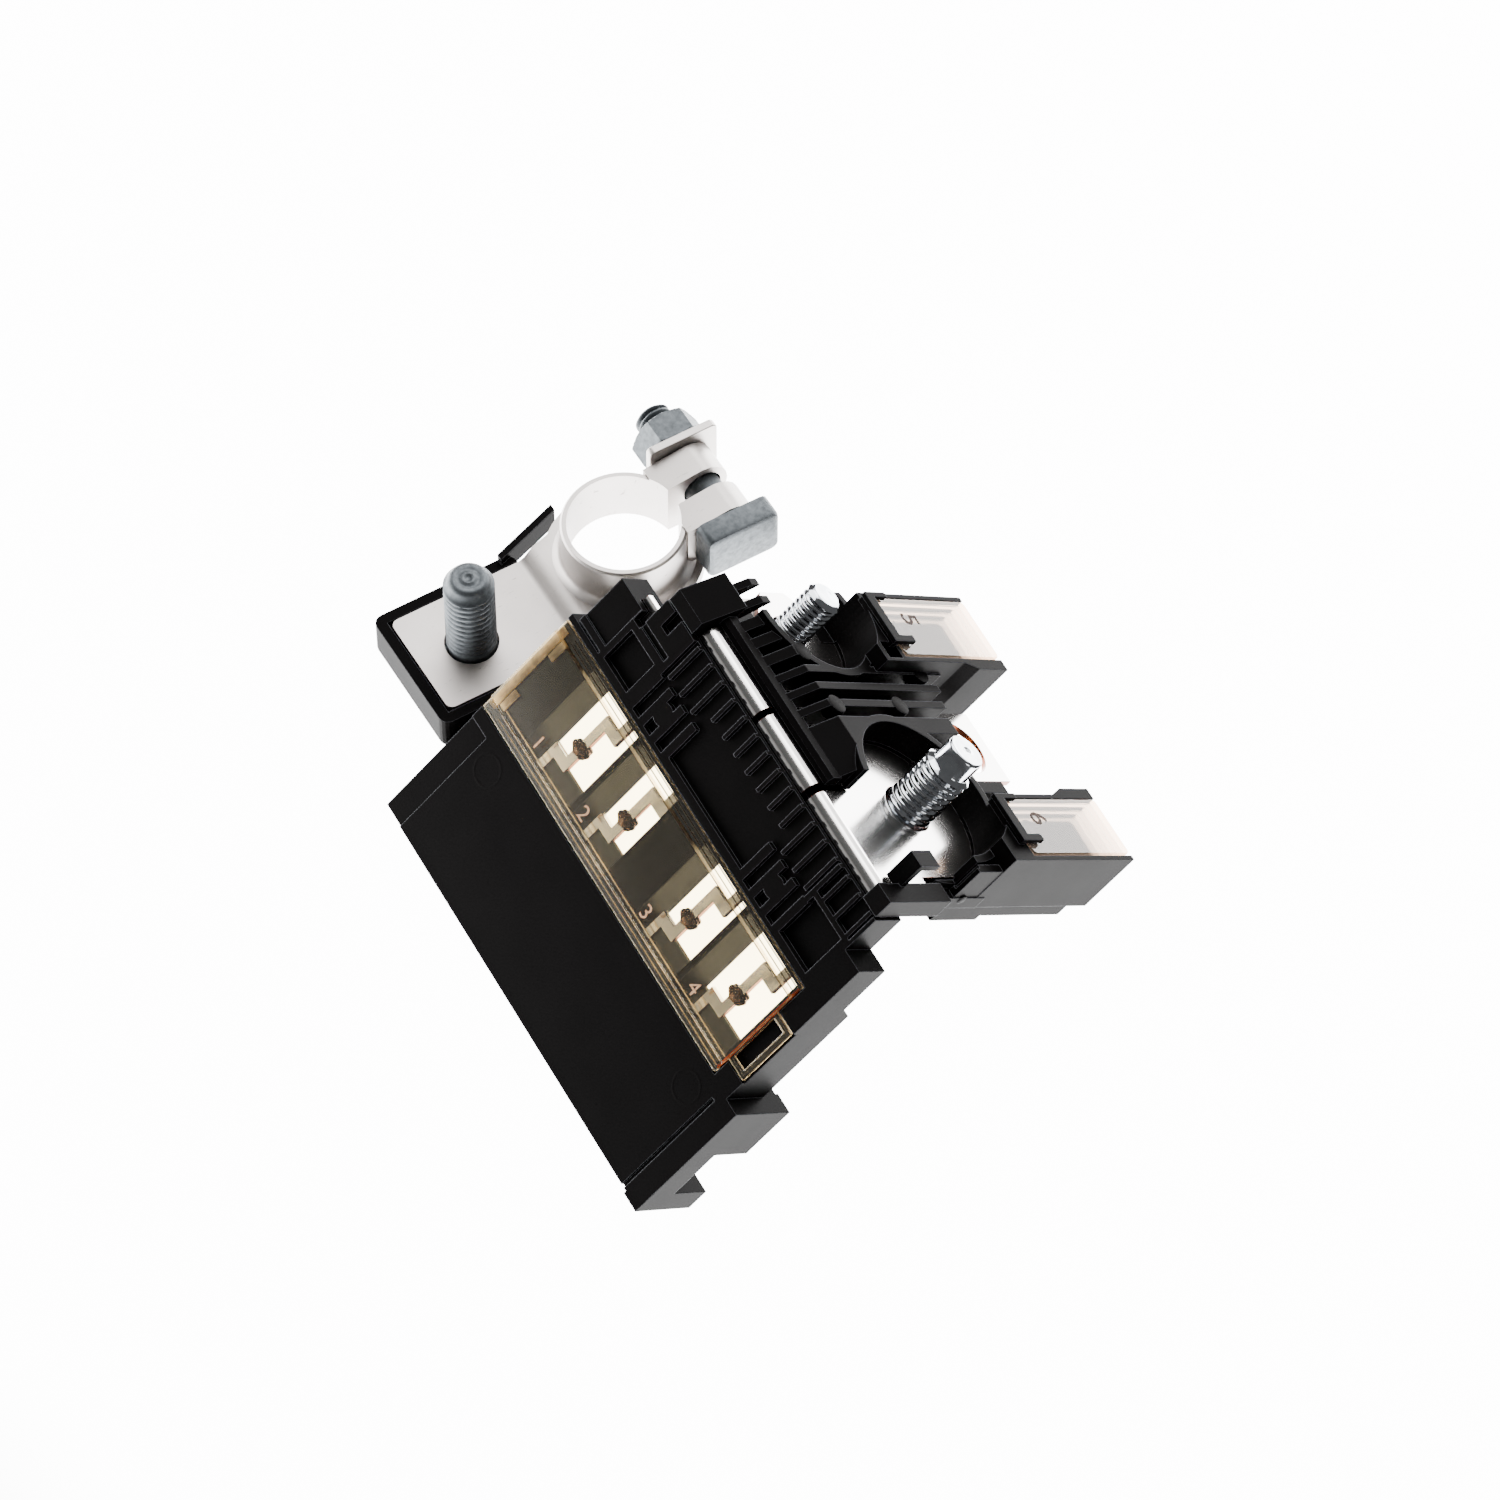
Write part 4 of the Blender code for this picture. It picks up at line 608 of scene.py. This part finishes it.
def lathe(profile, steps=64):
    """Turn a profile of (radius, height) in millimetres, top to bottom, about Z."""
    deselect_all()
    bpy.ops.mesh.primitive_circle_add(vertices=3, radius=MM)
    piece = bpy.context.object
    outline = bmesh.new()
    last = None
    for radius, height in profile:
        vertex = outline.verts.new((radius * MM, 0.0, height * MM))
        if last:
            outline.edges.new((last, vertex))
        last = vertex
    outline.to_mesh(piece.data)
    outline.free()
    bpy.ops.object.modifier_add(type='SCREW')
    turn = piece.modifiers[-1]
    turn.steps = steps
    turn.render_steps = steps
    turn.use_merge_vertices = True
    turn.merge_threshold = MERGE
    bpy.ops.object.modifier_apply(modifier=turn.name)
    bpy.ops.object.mode_set(mode='EDIT')
    bpy.ops.mesh.select_all(action='SELECT')
    bpy.ops.mesh.remove_doubles(threshold=MERGE)
    bpy.ops.mesh.normals_make_consistent(inside=False)
    bpy.ops.object.mode_set(mode='OBJECT')
    return piece


def cut_thread(piece, radius, pitch, low, high, depth, fade):
    """Move the rings between two heights into a right-hand thread, in millimetres."""
    for vertex in piece.data.vertices:
        x, y, z = (c / MM for c in vertex.co)
        spread = math.hypot(x, y)
        if not low <= z <= high or spread < radius * 0.6:
            continue
        phase = (z / pitch - math.atan2(y, x) / (2 * math.pi)) % 1.0
        ease = max(0.0, min(1.0, (z - low) / fade, 3.0 * (high - z) / fade))
        drop = depth * (1.0 - math.sin(math.pi * phase) ** 0.8) * ease
        drop = max(drop, radius * 0.22 - (high - z))
        scale = (spread - drop) / spread
        vertex.co.x *= scale
        vertex.co.y *= scale


def rings(radius, low, high, pitch, per_turn=9):
    """Profile points up a shank, close enough together to carry a thread."""
    count = int((high - low) / pitch * per_turn)
    return [(radius, high - (high - low) * i / count) for i in range(count + 1)]


def smooth(piece, angle=35):
    """Shade a piece smooth below an edge angle."""
    deselect_all()
    bpy.context.view_layer.objects.active = piece
    piece.select_set(True)
    bpy.ops.object.shade_smooth_by_angle(angle=math.radians(angle))
    return piece


def bevel_edges(piece, width, segments, wanted):
    """Round the edges whose two ends pass a test."""
    deselect_all()
    bpy.context.view_layer.objects.active = piece
    piece.select_set(True)
    bpy.ops.object.mode_set(mode='EDIT')
    bpy.ops.mesh.select_all(action='DESELECT')
    bpy.ops.mesh.select_mode(type='EDGE')
    bpy.ops.object.mode_set(mode='OBJECT')
    vertices = piece.data.vertices
    for edge in piece.data.edges:
        edge.select = wanted(*(vertices[i].co for i in edge.vertices))
    bpy.ops.object.mode_set(mode='EDIT')
    bpy.ops.mesh.bevel(offset=width, segments=segments, affect='EDGES', clamp_overlap=True)
    bpy.ops.object.mode_set(mode='OBJECT')


def rounded_copy(node, name, width, make, body="block"):
    """Copy a CAD node, merge it, round its sharp edges and let the copy stand for it."""
    deselect_all()
    piece = frame["nodes"][node].copy()
    piece.data = piece.data.copy()
    bpy.context.scene.collection.objects.link(piece)
    bpy.context.view_layer.objects.active = piece
    piece.select_set(True)
    bpy.ops.object.mode_set(mode='EDIT')
    bpy.ops.mesh.select_all(action='SELECT')
    bpy.ops.mesh.remove_doubles(threshold=0.00001)
    bpy.ops.mesh.dissolve_limited(angle_limit=math.radians(1.0))
    bpy.ops.object.mode_set(mode='OBJECT')
    bpy.ops.object.modifier_add(type='BEVEL')
    bevel = piece.modifiers[-1]
    bevel.width = width
    bevel.segments = 2
    bevel.limit_method = 'ANGLE'
    bevel.angle_limit = math.radians(30)
    bpy.ops.object.modifier_apply(modifier=bevel.name)
    smooth(piece, 35)
    bpy.ops.object.modifier_add(type='WEIGHTED_NORMAL')
    even = piece.modifiers[-1]
    even.keep_sharp = True
    bpy.ops.object.modifier_apply(modifier=even.name)
    return settle(piece, name, Matrix.Identity(4), body, make, (node,))


def copy_of(piece):
    """A copy of a modelled piece, with a mesh of its own."""
    twin = piece.copy()
    twin.data = piece.data.copy()
    bpy.context.scene.collection.objects.link(twin)
    return twin


def rounded_strip(x, y, z):
    """A thin strip of the given sizes in millimetres, with rounded edges, at the origin."""
    deselect_all()
    bpy.ops.mesh.primitive_cube_add(size=1.0)
    strip = bpy.context.object
    strip.scale = Vector((x, y, z)) * MM
    bpy.ops.object.transform_apply(location=True, rotation=True, scale=True)
    bevel_edges(strip, min(x, y) * 0.3 * MM, 2, lambda a, b: True)
    return smooth(strip)


def lay_copies(piece, name, places, make):
    """Lay copies of a piece at places of the block, in millimetres, and drop the first one."""
    for number, place in enumerate(places, 1):
        matrix = Matrix.Translation(block_point(*place))
        settle(copy_of(piece), "%s_%d" % (name, number), matrix, "block", make)
    bpy.data.objects.remove(piece)


def numeral(text, name, place, x_way, up_way, height, make):
    """A plain numeral, lying on a cover."""
    deselect_all()
    bpy.ops.object.text_add()
    piece = bpy.context.object
    piece.data.body = text
    piece.data.size = height / DIGIT_SHARE
    piece.data.extrude = NUMERAL_HALF_THICK * MM
    piece.data.align_x = 'CENTER'
    piece.data.align_y = 'CENTER'
    bpy.ops.object.convert(target='MESH')
    piece = bpy.context.object
    out = Vector(x_way).cross(Vector(up_way))
    matrix = Matrix((x_way, up_way, out)).transposed().to_4x4()
    matrix.translation = place
    return settle(piece, name, matrix, "block", make)


def line_window_cover():
    """Lay the end band, the hooks, the end edge and the thin lines inside the window cover."""
    low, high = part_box("window_cover")
    left, right = (low.x - BLOCK.x) / MM, (high.x - BLOCK.x) / MM
    face = (low.y - BLOCK.y) / MM
    bottom, top = (low.z - BLOCK.z) / MM, (high.z - BLOCK.z) / MM
    height = top - bottom
    middle_z = (top + bottom) / 2

    band = rounded_strip(BAND_WIDTH, STRIP_THICK, height - BAND_SHORTER)
    place = block_point(left + BAND_PLACE, face + STRIP_BEHIND, middle_z)
    settle(band, "cover_end_band", Matrix.Translation(place), "block", golden_edge)

    hook = rounded_strip(HOOK_WIDTH, STRIP_THICK, HOOK_HEIGHT)
    places = [(left + HOOK_PLACE, face + STRIP_BEHIND, z) for z in (top - HOOK_INSET, bottom + HOOK_INSET)]
    lay_copies(hook, "cover_hook", places, golden_edge)

    cell_end = right - LATCH_LENGTH
    edge = rounded_strip(STRIP_THICK, STRIP_THICK, height - END_EDGE_SHORTER)
    place = block_point(cell_end - STRIP_THICK / 2, face + END_EDGE_BEHIND, middle_z)
    settle(edge, "cover_end_edge", Matrix.Translation(place), "block", orange_edge)

    line_left, line_right = left + LINE_FROM_LEFT, cell_end - LINE_FROM_EDGE
    line_x = (line_left + line_right) / 2
    step = rounded_strip(line_right - line_left, LINE_THICK, STEP_HEIGHT)
    places = [(line_x, face + LINE_BEHIND, top - depth) for depth in LINE_DEPTHS]
    lay_copies(step, "cover_step", places, smoky_line)
    line = rounded_strip(line_right - line_left, LINE_THICK, LIGHT_LINE_HEIGHT)
    places = [(line_x, face + LINE_BEHIND, bottom + depth) for depth in LINE_DEPTHS]
    lay_copies(line, "cover_light_line", places, golden_edge)


def number_covers(sizes):
    """Print 1 to 4 on the cells and 5 and 6 on the arms."""
    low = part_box("window_cover")[0]
    for number in range(1, 5):
        pellet = middle("tin_pellet_%d" % number)
        place = Vector((pellet.x - CELL_NUMERAL_LEFT * MM, low.y - NUMERAL_PROUD * MM,
                        low.z + CELL_NUMERAL_UP * MM))
        numeral(str(number), "cell_numeral_%d" % number, place, (1, 0, 0), (0, 0, 1),
                sizes.numeral, numeral_ink)
    for number, node in ((5, "arm_cover_a"), (6, "arm_cover_b")):
        low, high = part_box(node)
        place = Vector(((low.x + high.x) / 2 - ARM_NUMERAL_LEFT * MM, low.y + ARM_NUMERAL_IN * MM,
                        high.z + NUMERAL_PROUD * MM))
        numeral(str(number), "arm_numeral_%d" % number, place, (1, 0, 0), (0, 1, 0),
                sizes.arm_numeral, dark_numeral_ink)


def thread_clamp_stud(pitch):
    """The clamp's stud: a stepped tip, a worn thread and a round head under the pad."""
    low, high = span("clamp_stud", CLAMP)
    centre = (low + high) / 2
    head_radius = (high.x - low.x) / 2
    radius = head_radius - 2.0
    top = high.z
    end = top - 1.9
    profile = [(0.0, top - 0.25), (0.45, top - 0.25), (0.7, top), (1.1, top), (1.35, top - 0.25),
               (1.9, top - 0.2), (2.3, top - 0.05), (2.9, top - 0.25), (3.3, top - 0.7),
               (3.5, top - 1.5)]
    profile += rings(radius, -1.2, end, pitch)
    profile += [(radius - 0.1, -1.4), (radius - 0.1, low.z + STUD_HEAD_HEIGHT),
                (head_radius, low.z + STUD_HEAD_HEIGHT), (head_radius, low.z), (0.0, low.z)]
    stud = lathe(profile)
    cut_thread(stud, radius, pitch, -1.2, end, WORN_THREAD_DEPTH * pitch, THREAD_FADE)
    smooth(stud, 75)
    place = CLAMP @ Matrix.Translation(Vector((centre.x, centre.y, 0.0)) * MM)
    settle(stud, "clamp_stud_threaded", place, "block", grey_zinc_flake, ("clamp_stud",))


def forge_clamp_bolt(pitch):
    """The clamp's bolt: a threaded shank joined to a rounded rectangular head."""
    low, high = span("clamp_bolt", BOLT)
    head_low = high.z - BOLT_HEAD_HEIGHT
    profile = [(0.0, head_low + 1.0), (M6_RADIUS, head_low + 1.0), (M6_RADIUS, -8.0)]
    profile += rings(M6_RADIUS, low.z + 0.6, BOLT_THREAD_END, pitch)
    profile += [(M6_RADIUS - 0.6, low.z + 0.1), (M6_RADIUS - 0.8, low.z), (1.2, low.z + 0.1),
                (0.0, low.z + 0.1)]
    shank = lathe(profile)
    cut_thread(shank, M6_RADIUS, pitch, low.z + 0.5, BOLT_THREAD_END, THREAD_DEPTH * pitch, 0.5)
    smooth(shank, 75)
    deselect_all()
    bpy.ops.mesh.primitive_cube_add(size=1.0)
    head = bpy.context.object
    head.scale = Vector((high.x - low.x, high.y - low.y, high.z - head_low)) * MM
    head.location = Vector(((high.x + low.x) / 2, (high.y + low.y) / 2, (high.z + head_low) / 2)) * MM
    bpy.ops.object.transform_apply(location=True, rotation=True, scale=True)
    bevel_edges(head, 1.3 * MM, 3, lambda a, b: abs(a.z - b.z) > 1.0 * MM)
    bevel_edges(head, 0.7 * MM, 2, lambda a, b: min(a.z, b.z) > high.z * MM - 0.01 * MM)
    smooth(head, 30)
    shank.select_set(True)
    head.select_set(True)
    bpy.context.view_layer.objects.active = head
    bpy.ops.object.join()
    settle(head, "clamp_bolt_forged", BOLT, "block", grey_zinc_flake, ("clamp_bolt",))


def chamfer_clamp_nut():
    """The clamp's hex nut: a round outline pushed in to six flats, with a cone at both ends."""
    low, high = span("clamp_nut", BOLT)
    flats = (high.y - low.y) / 2
    corner = (high.x - low.x) / 2
    bore = M6_RADIUS + 0.3
    waist = (bore, (low.z + high.z) / 2)
    profile = [waist, (bore, high.z - 0.5), (bore + 0.5, high.z), (flats * 0.9, high.z)]
    profile += [(corner, high.z - step) for step in NUT_STEPS]
    profile += [(corner, low.z + step) for step in reversed(NUT_STEPS)]
    profile += [(flats * 0.9, low.z), (bore + 0.5, low.z), (bore, low.z + 0.5), waist]
    nut = lathe(profile, 96)
    for vertex in nut.data.vertices:
        x, y, z = (c / MM for c in vertex.co)
        spread = math.hypot(x, y)
        if spread < flats * 0.95:
            continue
        turn = math.degrees(math.atan2(y, x)) % 60.0 - 30.0
        side = flats / math.cos(math.radians(turn))
        depth = min(z - low.z, high.z - z)
        cone = flats * 0.97 + depth * 1.6
        scale = min(side, cone, corner) / spread
        vertex.co.x *= scale
        vertex.co.y *= scale
    smooth(nut, 25)
    settle(nut, "clamp_nut_chamfered", BOLT, "nut", grey_zinc_flake, ("clamp_nut",))


# Operators, one for each group of pieces

class FUSEBLOCK_OT_housings(bpy.types.Operator):
    """Finish the moulded housings and the clamp's tray"""
    bl_idname = "fuseblock.housings"
    bl_label = "Housings"

    def execute(self, context):
        for node in ("front_housing", "top_housing", "clamp_tray"):
            dress(node, glass_filled_nylon)
        return {'FINISHED'}


class FUSEBLOCK_OT_bus_bar(bpy.types.Operator):
    """Finish the bus bar and the links of the arms"""
    bl_idname = "fuseblock.bus_bar"
    bl_label = "Bus bar and links"

    def execute(self, context):
        rounded_copy("bus_bar", "bus_bar_smooth", BUS_BAR_ROUNDING, tin_plated_copper)
        for node in ("arm_link_a", "arm_link_b"):
            dress(node, tin_plated_link)
        return {'FINISHED'}


class FUSEBLOCK_OT_covers(bpy.types.Operator):
    """Finish the clear covers and number them"""
    bl_idname = "fuseblock.covers"
    bl_label = "Clear covers"

    def execute(self, context):
        rounded_copy("window_cover", "window_cover_moulded", COVER_ROUNDING, amber_polycarbonate)
        rounded_copy("rear_cover", "rear_cover_moulded", COVER_ROUNDING, rear_polycarbonate)
        for node in ("arm_cover_a", "arm_cover_b"):
            rounded_copy(node, node + "_moulded", COVER_ROUNDING, pale_polycarbonate)
        line_window_cover()
        number_covers(context.scene.fuse_block_sizes)
        return {'FINISHED'}


class FUSEBLOCK_OT_pellets(bpy.types.Operator):
    """Shape and finish the tin drops of the fuse strips"""
    bl_idname = "fuseblock.pellets"
    bl_label = "Tin drops"

    def execute(self, context):
        low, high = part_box("tin_pellet_1")
        half = (high - low) / 2
        deselect_all()
        bpy.ops.mesh.primitive_ico_sphere_add(subdivisions=4, radius=1.0)
        drop = bpy.context.object
        bpy.ops.object.mode_set(mode='EDIT')
        bpy.ops.mesh.select_all(action='SELECT')
        bpy.ops.transform.resize(value=half * 1.02)
        bpy.ops.transform.vertex_random(offset=0.55 * MM, uniform=0.2, normal=0.8, seed=5)
        bpy.ops.mesh.vertices_smooth(factor=0.5, repeat=3)
        bpy.ops.object.mode_set(mode='OBJECT')
        for vertex in drop.data.vertices:
            for i in range(3):
                vertex.co[i] = min(half[i], max(-half[i], vertex.co[i]))
        smooth(drop, 50)
        for number in range(1, 5):
            node = "tin_pellet_%d" % number
            matrix = Matrix.Translation(middle(node))
            settle(copy_of(drop), node + "_crimped", matrix, "block", crimped_tin, (node,))
        bpy.data.objects.remove(drop)
        return {'FINISHED'}


class FUSEBLOCK_OT_block_studs(bpy.types.Operator):
    """Model the two bright studs with their threads"""
    bl_idname = "fuseblock.block_studs"
    bl_label = "Block studs"

    def execute(self, context):
        sizes = context.scene.fuse_block_sizes
        for node, pitch, dog, radius in (("m8_stud", sizes.m8_pitch / MM, True, M8_RADIUS),
                                         ("m6_stud", sizes.m6_pitch / MM, False, M6_RADIUS)):
            low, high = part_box(node)
            tip = (high.z - BLOCK.z) / MM
            foot = (low.z - BLOCK.z) / MM
            end = tip - 4.4 if dog else tip - 0.8
            head_radius = (high.x - low.x) / 2 / MM
            if dog:
                top = [(0.0, tip - 0.6), (0.7, tip - 0.1), (0.9, tip), (2.65, tip), (3.0, tip - 0.15),
                       (3.15, tip - 0.5), (3.15, end + 0.7), (3.3, end + 0.5)]
            else:
                top = [(0.0, tip - 0.25), (1.6, tip - 0.2), (2.0, tip), (2.35, tip - 0.08), (2.6, tip - 0.4)]
            profile = top + rings(radius, 0.4, end, pitch)
            profile += [(radius - 0.35, 0.3), (radius - 0.35, foot + STUD_HEAD_HEIGHT),
                        (head_radius, foot + STUD_HEAD_HEIGHT), (head_radius, foot), (0.0, foot)]
            stud = lathe(profile)
            cut_thread(stud, radius, pitch, 0.4, end, THREAD_DEPTH * pitch, THREAD_FADE)
            smooth(stud, 75)
            place = Matrix.Translation(Vector((middle(node).x, middle(node).y, BLOCK.z)))
            settle(stud, node + "_threaded", place, "block", bright_zinc, (node,))
        return {'FINISHED'}


class FUSEBLOCK_OT_clamp(bpy.types.Operator):
    """Finish the clamp and its washer"""
    bl_idname = "fuseblock.clamp"
    bl_label = "Clamp"

    def execute(self, context):
        rounded_copy("clamp_body", "clamp_body_pressed", CLAMP_ROUNDING, matte_tin)
        rounded_copy("clamp_washer", "clamp_washer_pressed", WASHER_ROUNDING, matte_tin, "washer")
        return {'FINISHED'}


class FUSEBLOCK_OT_clamp_fasteners(bpy.types.Operator):
    """Model the clamp's stud, bolt and nut with their threads and chamfers"""
    bl_idname = "fuseblock.clamp_fasteners"
    bl_label = "Clamp fasteners"

    def execute(self, context):
        sizes = context.scene.fuse_block_sizes
        thread_clamp_stud(sizes.m8_pitch / MM)
        forge_clamp_bolt(sizes.m6_pitch / MM)
        chamfer_clamp_nut()
        return {'FINISHED'}


class FUSEBLOCK_OT_moulded_marks(bpy.types.Operator):
    """Model the mould's marks: ejectors on the ribs, rings on the front face, a gate on the side"""
    bl_idname = "fuseblock.moulded_marks"
    bl_label = "Moulded marks"

    def execute(self, context):
        deselect_all()
        bpy.ops.mesh.primitive_cylinder_add(vertices=40, radius=EJECTOR_RADIUS, depth=EJECTOR_DEPTH)
        disc = bpy.context.object
        bevel_edges(disc, 0.12 * MM, 2, lambda a, b: min(a.z, b.z) > 0)
        smooth(disc)
        disc_z = RIB_TOP + EJECTOR_PROUD - EJECTOR_DEPTH / 2 / MM
        lay_copies(disc, "ejector_mark", [(x, y, disc_z) for x, y in EJECTOR_MARKS], glass_filled_nylon)

        # With no window this turns the other way, so the ridge ends up facing out of the front face
        ring = smooth(lathe(RING_SECTION))
        bpy.ops.transform.rotate(value=-math.radians(90), orient_axis='X', center_override=(0, 0, 0))
        bpy.ops.object.transform_apply(location=True, rotation=True, scale=True)
        lay_copies(ring, "ring_mark", [(x, FACE_Y, RING_HEIGHT) for x in RING_PLACES], glass_filled_nylon)

        deselect_all()
        bpy.ops.mesh.primitive_cylinder_add(vertices=24, radius=GATE_RADIUS, depth=GATE_DEPTH)
        gate = bpy.context.object
        bevel_edges(gate, 0.15 * MM, 2, lambda a, b: min(a.z, b.z) > 0)
        smooth(gate)
        place = Matrix.Translation(block_point(*GATE_PLACE)) @ Matrix.Rotation(math.radians(90), 4, 'Y')
        settle(gate, "gate_mark", place, "block", glass_filled_nylon)
        return {'FINISHED'}


class FUSEBLOCK_OT_stage(bpy.types.Operator):
    """Make the floor, the lights and the camera"""
    bl_idname = "fuseblock.stage"
    bl_label = "Stage"

    def execute(self, context):
        scene = context.scene
        deselect_all()
        bpy.ops.mesh.primitive_plane_add(size=FLOOR_SIZE, location=(0, 0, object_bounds()[0][2] - FLOOR_DROP))
        floor = bpy.context.object
        floor.name = "studio_floor"
        floor.data.materials.append(finish_of(studio_floor))
        floor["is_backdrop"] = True

        world = bpy.data.worlds.new("studio_air")
        scene.world = world
        world.use_nodes = True
        background = world.node_tree.nodes["Background"]
        background.inputs["Color"].default_value = linear("FFFFFF")
        background.inputs["Strength"].default_value = AIR_STRENGTH

        low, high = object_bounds()
        centre = (Vector(low) + Vector(high)) / 2
        for name, way, distance, size, power in LAMPS:
            bpy.ops.object.light_add(type='AREA')
            lamp = bpy.context.object
            lamp.name = name
            lamp.data.size = size
            lamp.data.energy = power
            direction = Vector(way).normalized()
            lamp.location = centre + direction * distance
            lamp.rotation_euler = direction.to_track_quat('Z', 'Y').to_euler()

        bpy.ops.object.camera_add()
        camera = bpy.context.object
        camera.name = "photo_camera"
        camera.data.sensor_width = 36.0
        camera.data.lens = PHOTO_FOCAL_PIXELS / PHOTO_WIDTH * camera.data.sensor_width
        camera.data.clip_start = 0.01
        camera.data.clip_end = 50.0
        turned = Matrix((CAMERA_RIGHT, CAMERA_UP, CAMERA_BACK)).transposed().to_4x4()
        camera.matrix_world = Matrix.Translation(block_point(*CAMERA_PLACE)) @ turned
        scene.camera = camera
        return {'FINISHED'}


class FUSEBLOCK_PT_panel(bpy.types.Panel):
    """Lists the steps, the sizes and the colours"""
    bl_idname = "FUSEBLOCK_PT_panel"
    bl_label = "Fuse Block"
    bl_space_type = 'VIEW_3D'
    bl_region_type = 'UI'
    bl_category = "Fuse Block"

    def draw(self, context):
        for operator in OPERATORS:
            self.layout.operator(operator.bl_idname)
        for group, names in ((context.scene.fuse_block_sizes, FuseBlockSizes.__annotations__),
                             (context.scene.fuse_block_colours, FuseBlockColours.__annotations__)):
            for name in names:
                self.layout.prop(group, name)


OPERATORS = (
    FUSEBLOCK_OT_housings,
    FUSEBLOCK_OT_bus_bar,
    FUSEBLOCK_OT_covers,
    FUSEBLOCK_OT_pellets,
    FUSEBLOCK_OT_block_studs,
    FUSEBLOCK_OT_clamp,
    FUSEBLOCK_OT_clamp_fasteners,
    FUSEBLOCK_OT_moulded_marks,
    FUSEBLOCK_OT_stage,
)
CLASSES = (FuseBlockSizes, FuseBlockColours) + OPERATORS + (FUSEBLOCK_PT_panel,)


def register():
    for made in CLASSES:
        bpy.utils.register_class(made)
    bpy.types.Scene.fuse_block_sizes = bpy.props.PointerProperty(type=FuseBlockSizes)
    bpy.types.Scene.fuse_block_colours = bpy.props.PointerProperty(type=FuseBlockColours)


def unregister():
    del bpy.types.Scene.fuse_block_colours
    del bpy.types.Scene.fuse_block_sizes
    for made in reversed(CLASSES):
        bpy.utils.unregister_class(made)


def main():
    """Register the add-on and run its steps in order."""
    register()
    bpy.ops.fuseblock.housings()
    bpy.ops.fuseblock.bus_bar()
    bpy.ops.fuseblock.covers()
    bpy.ops.fuseblock.pellets()
    bpy.ops.fuseblock.block_studs()
    bpy.ops.fuseblock.clamp()
    bpy.ops.fuseblock.clamp_fasteners()
    bpy.ops.fuseblock.moulded_marks()
    bpy.ops.fuseblock.stage()


if __name__ == "__main__":
    main()
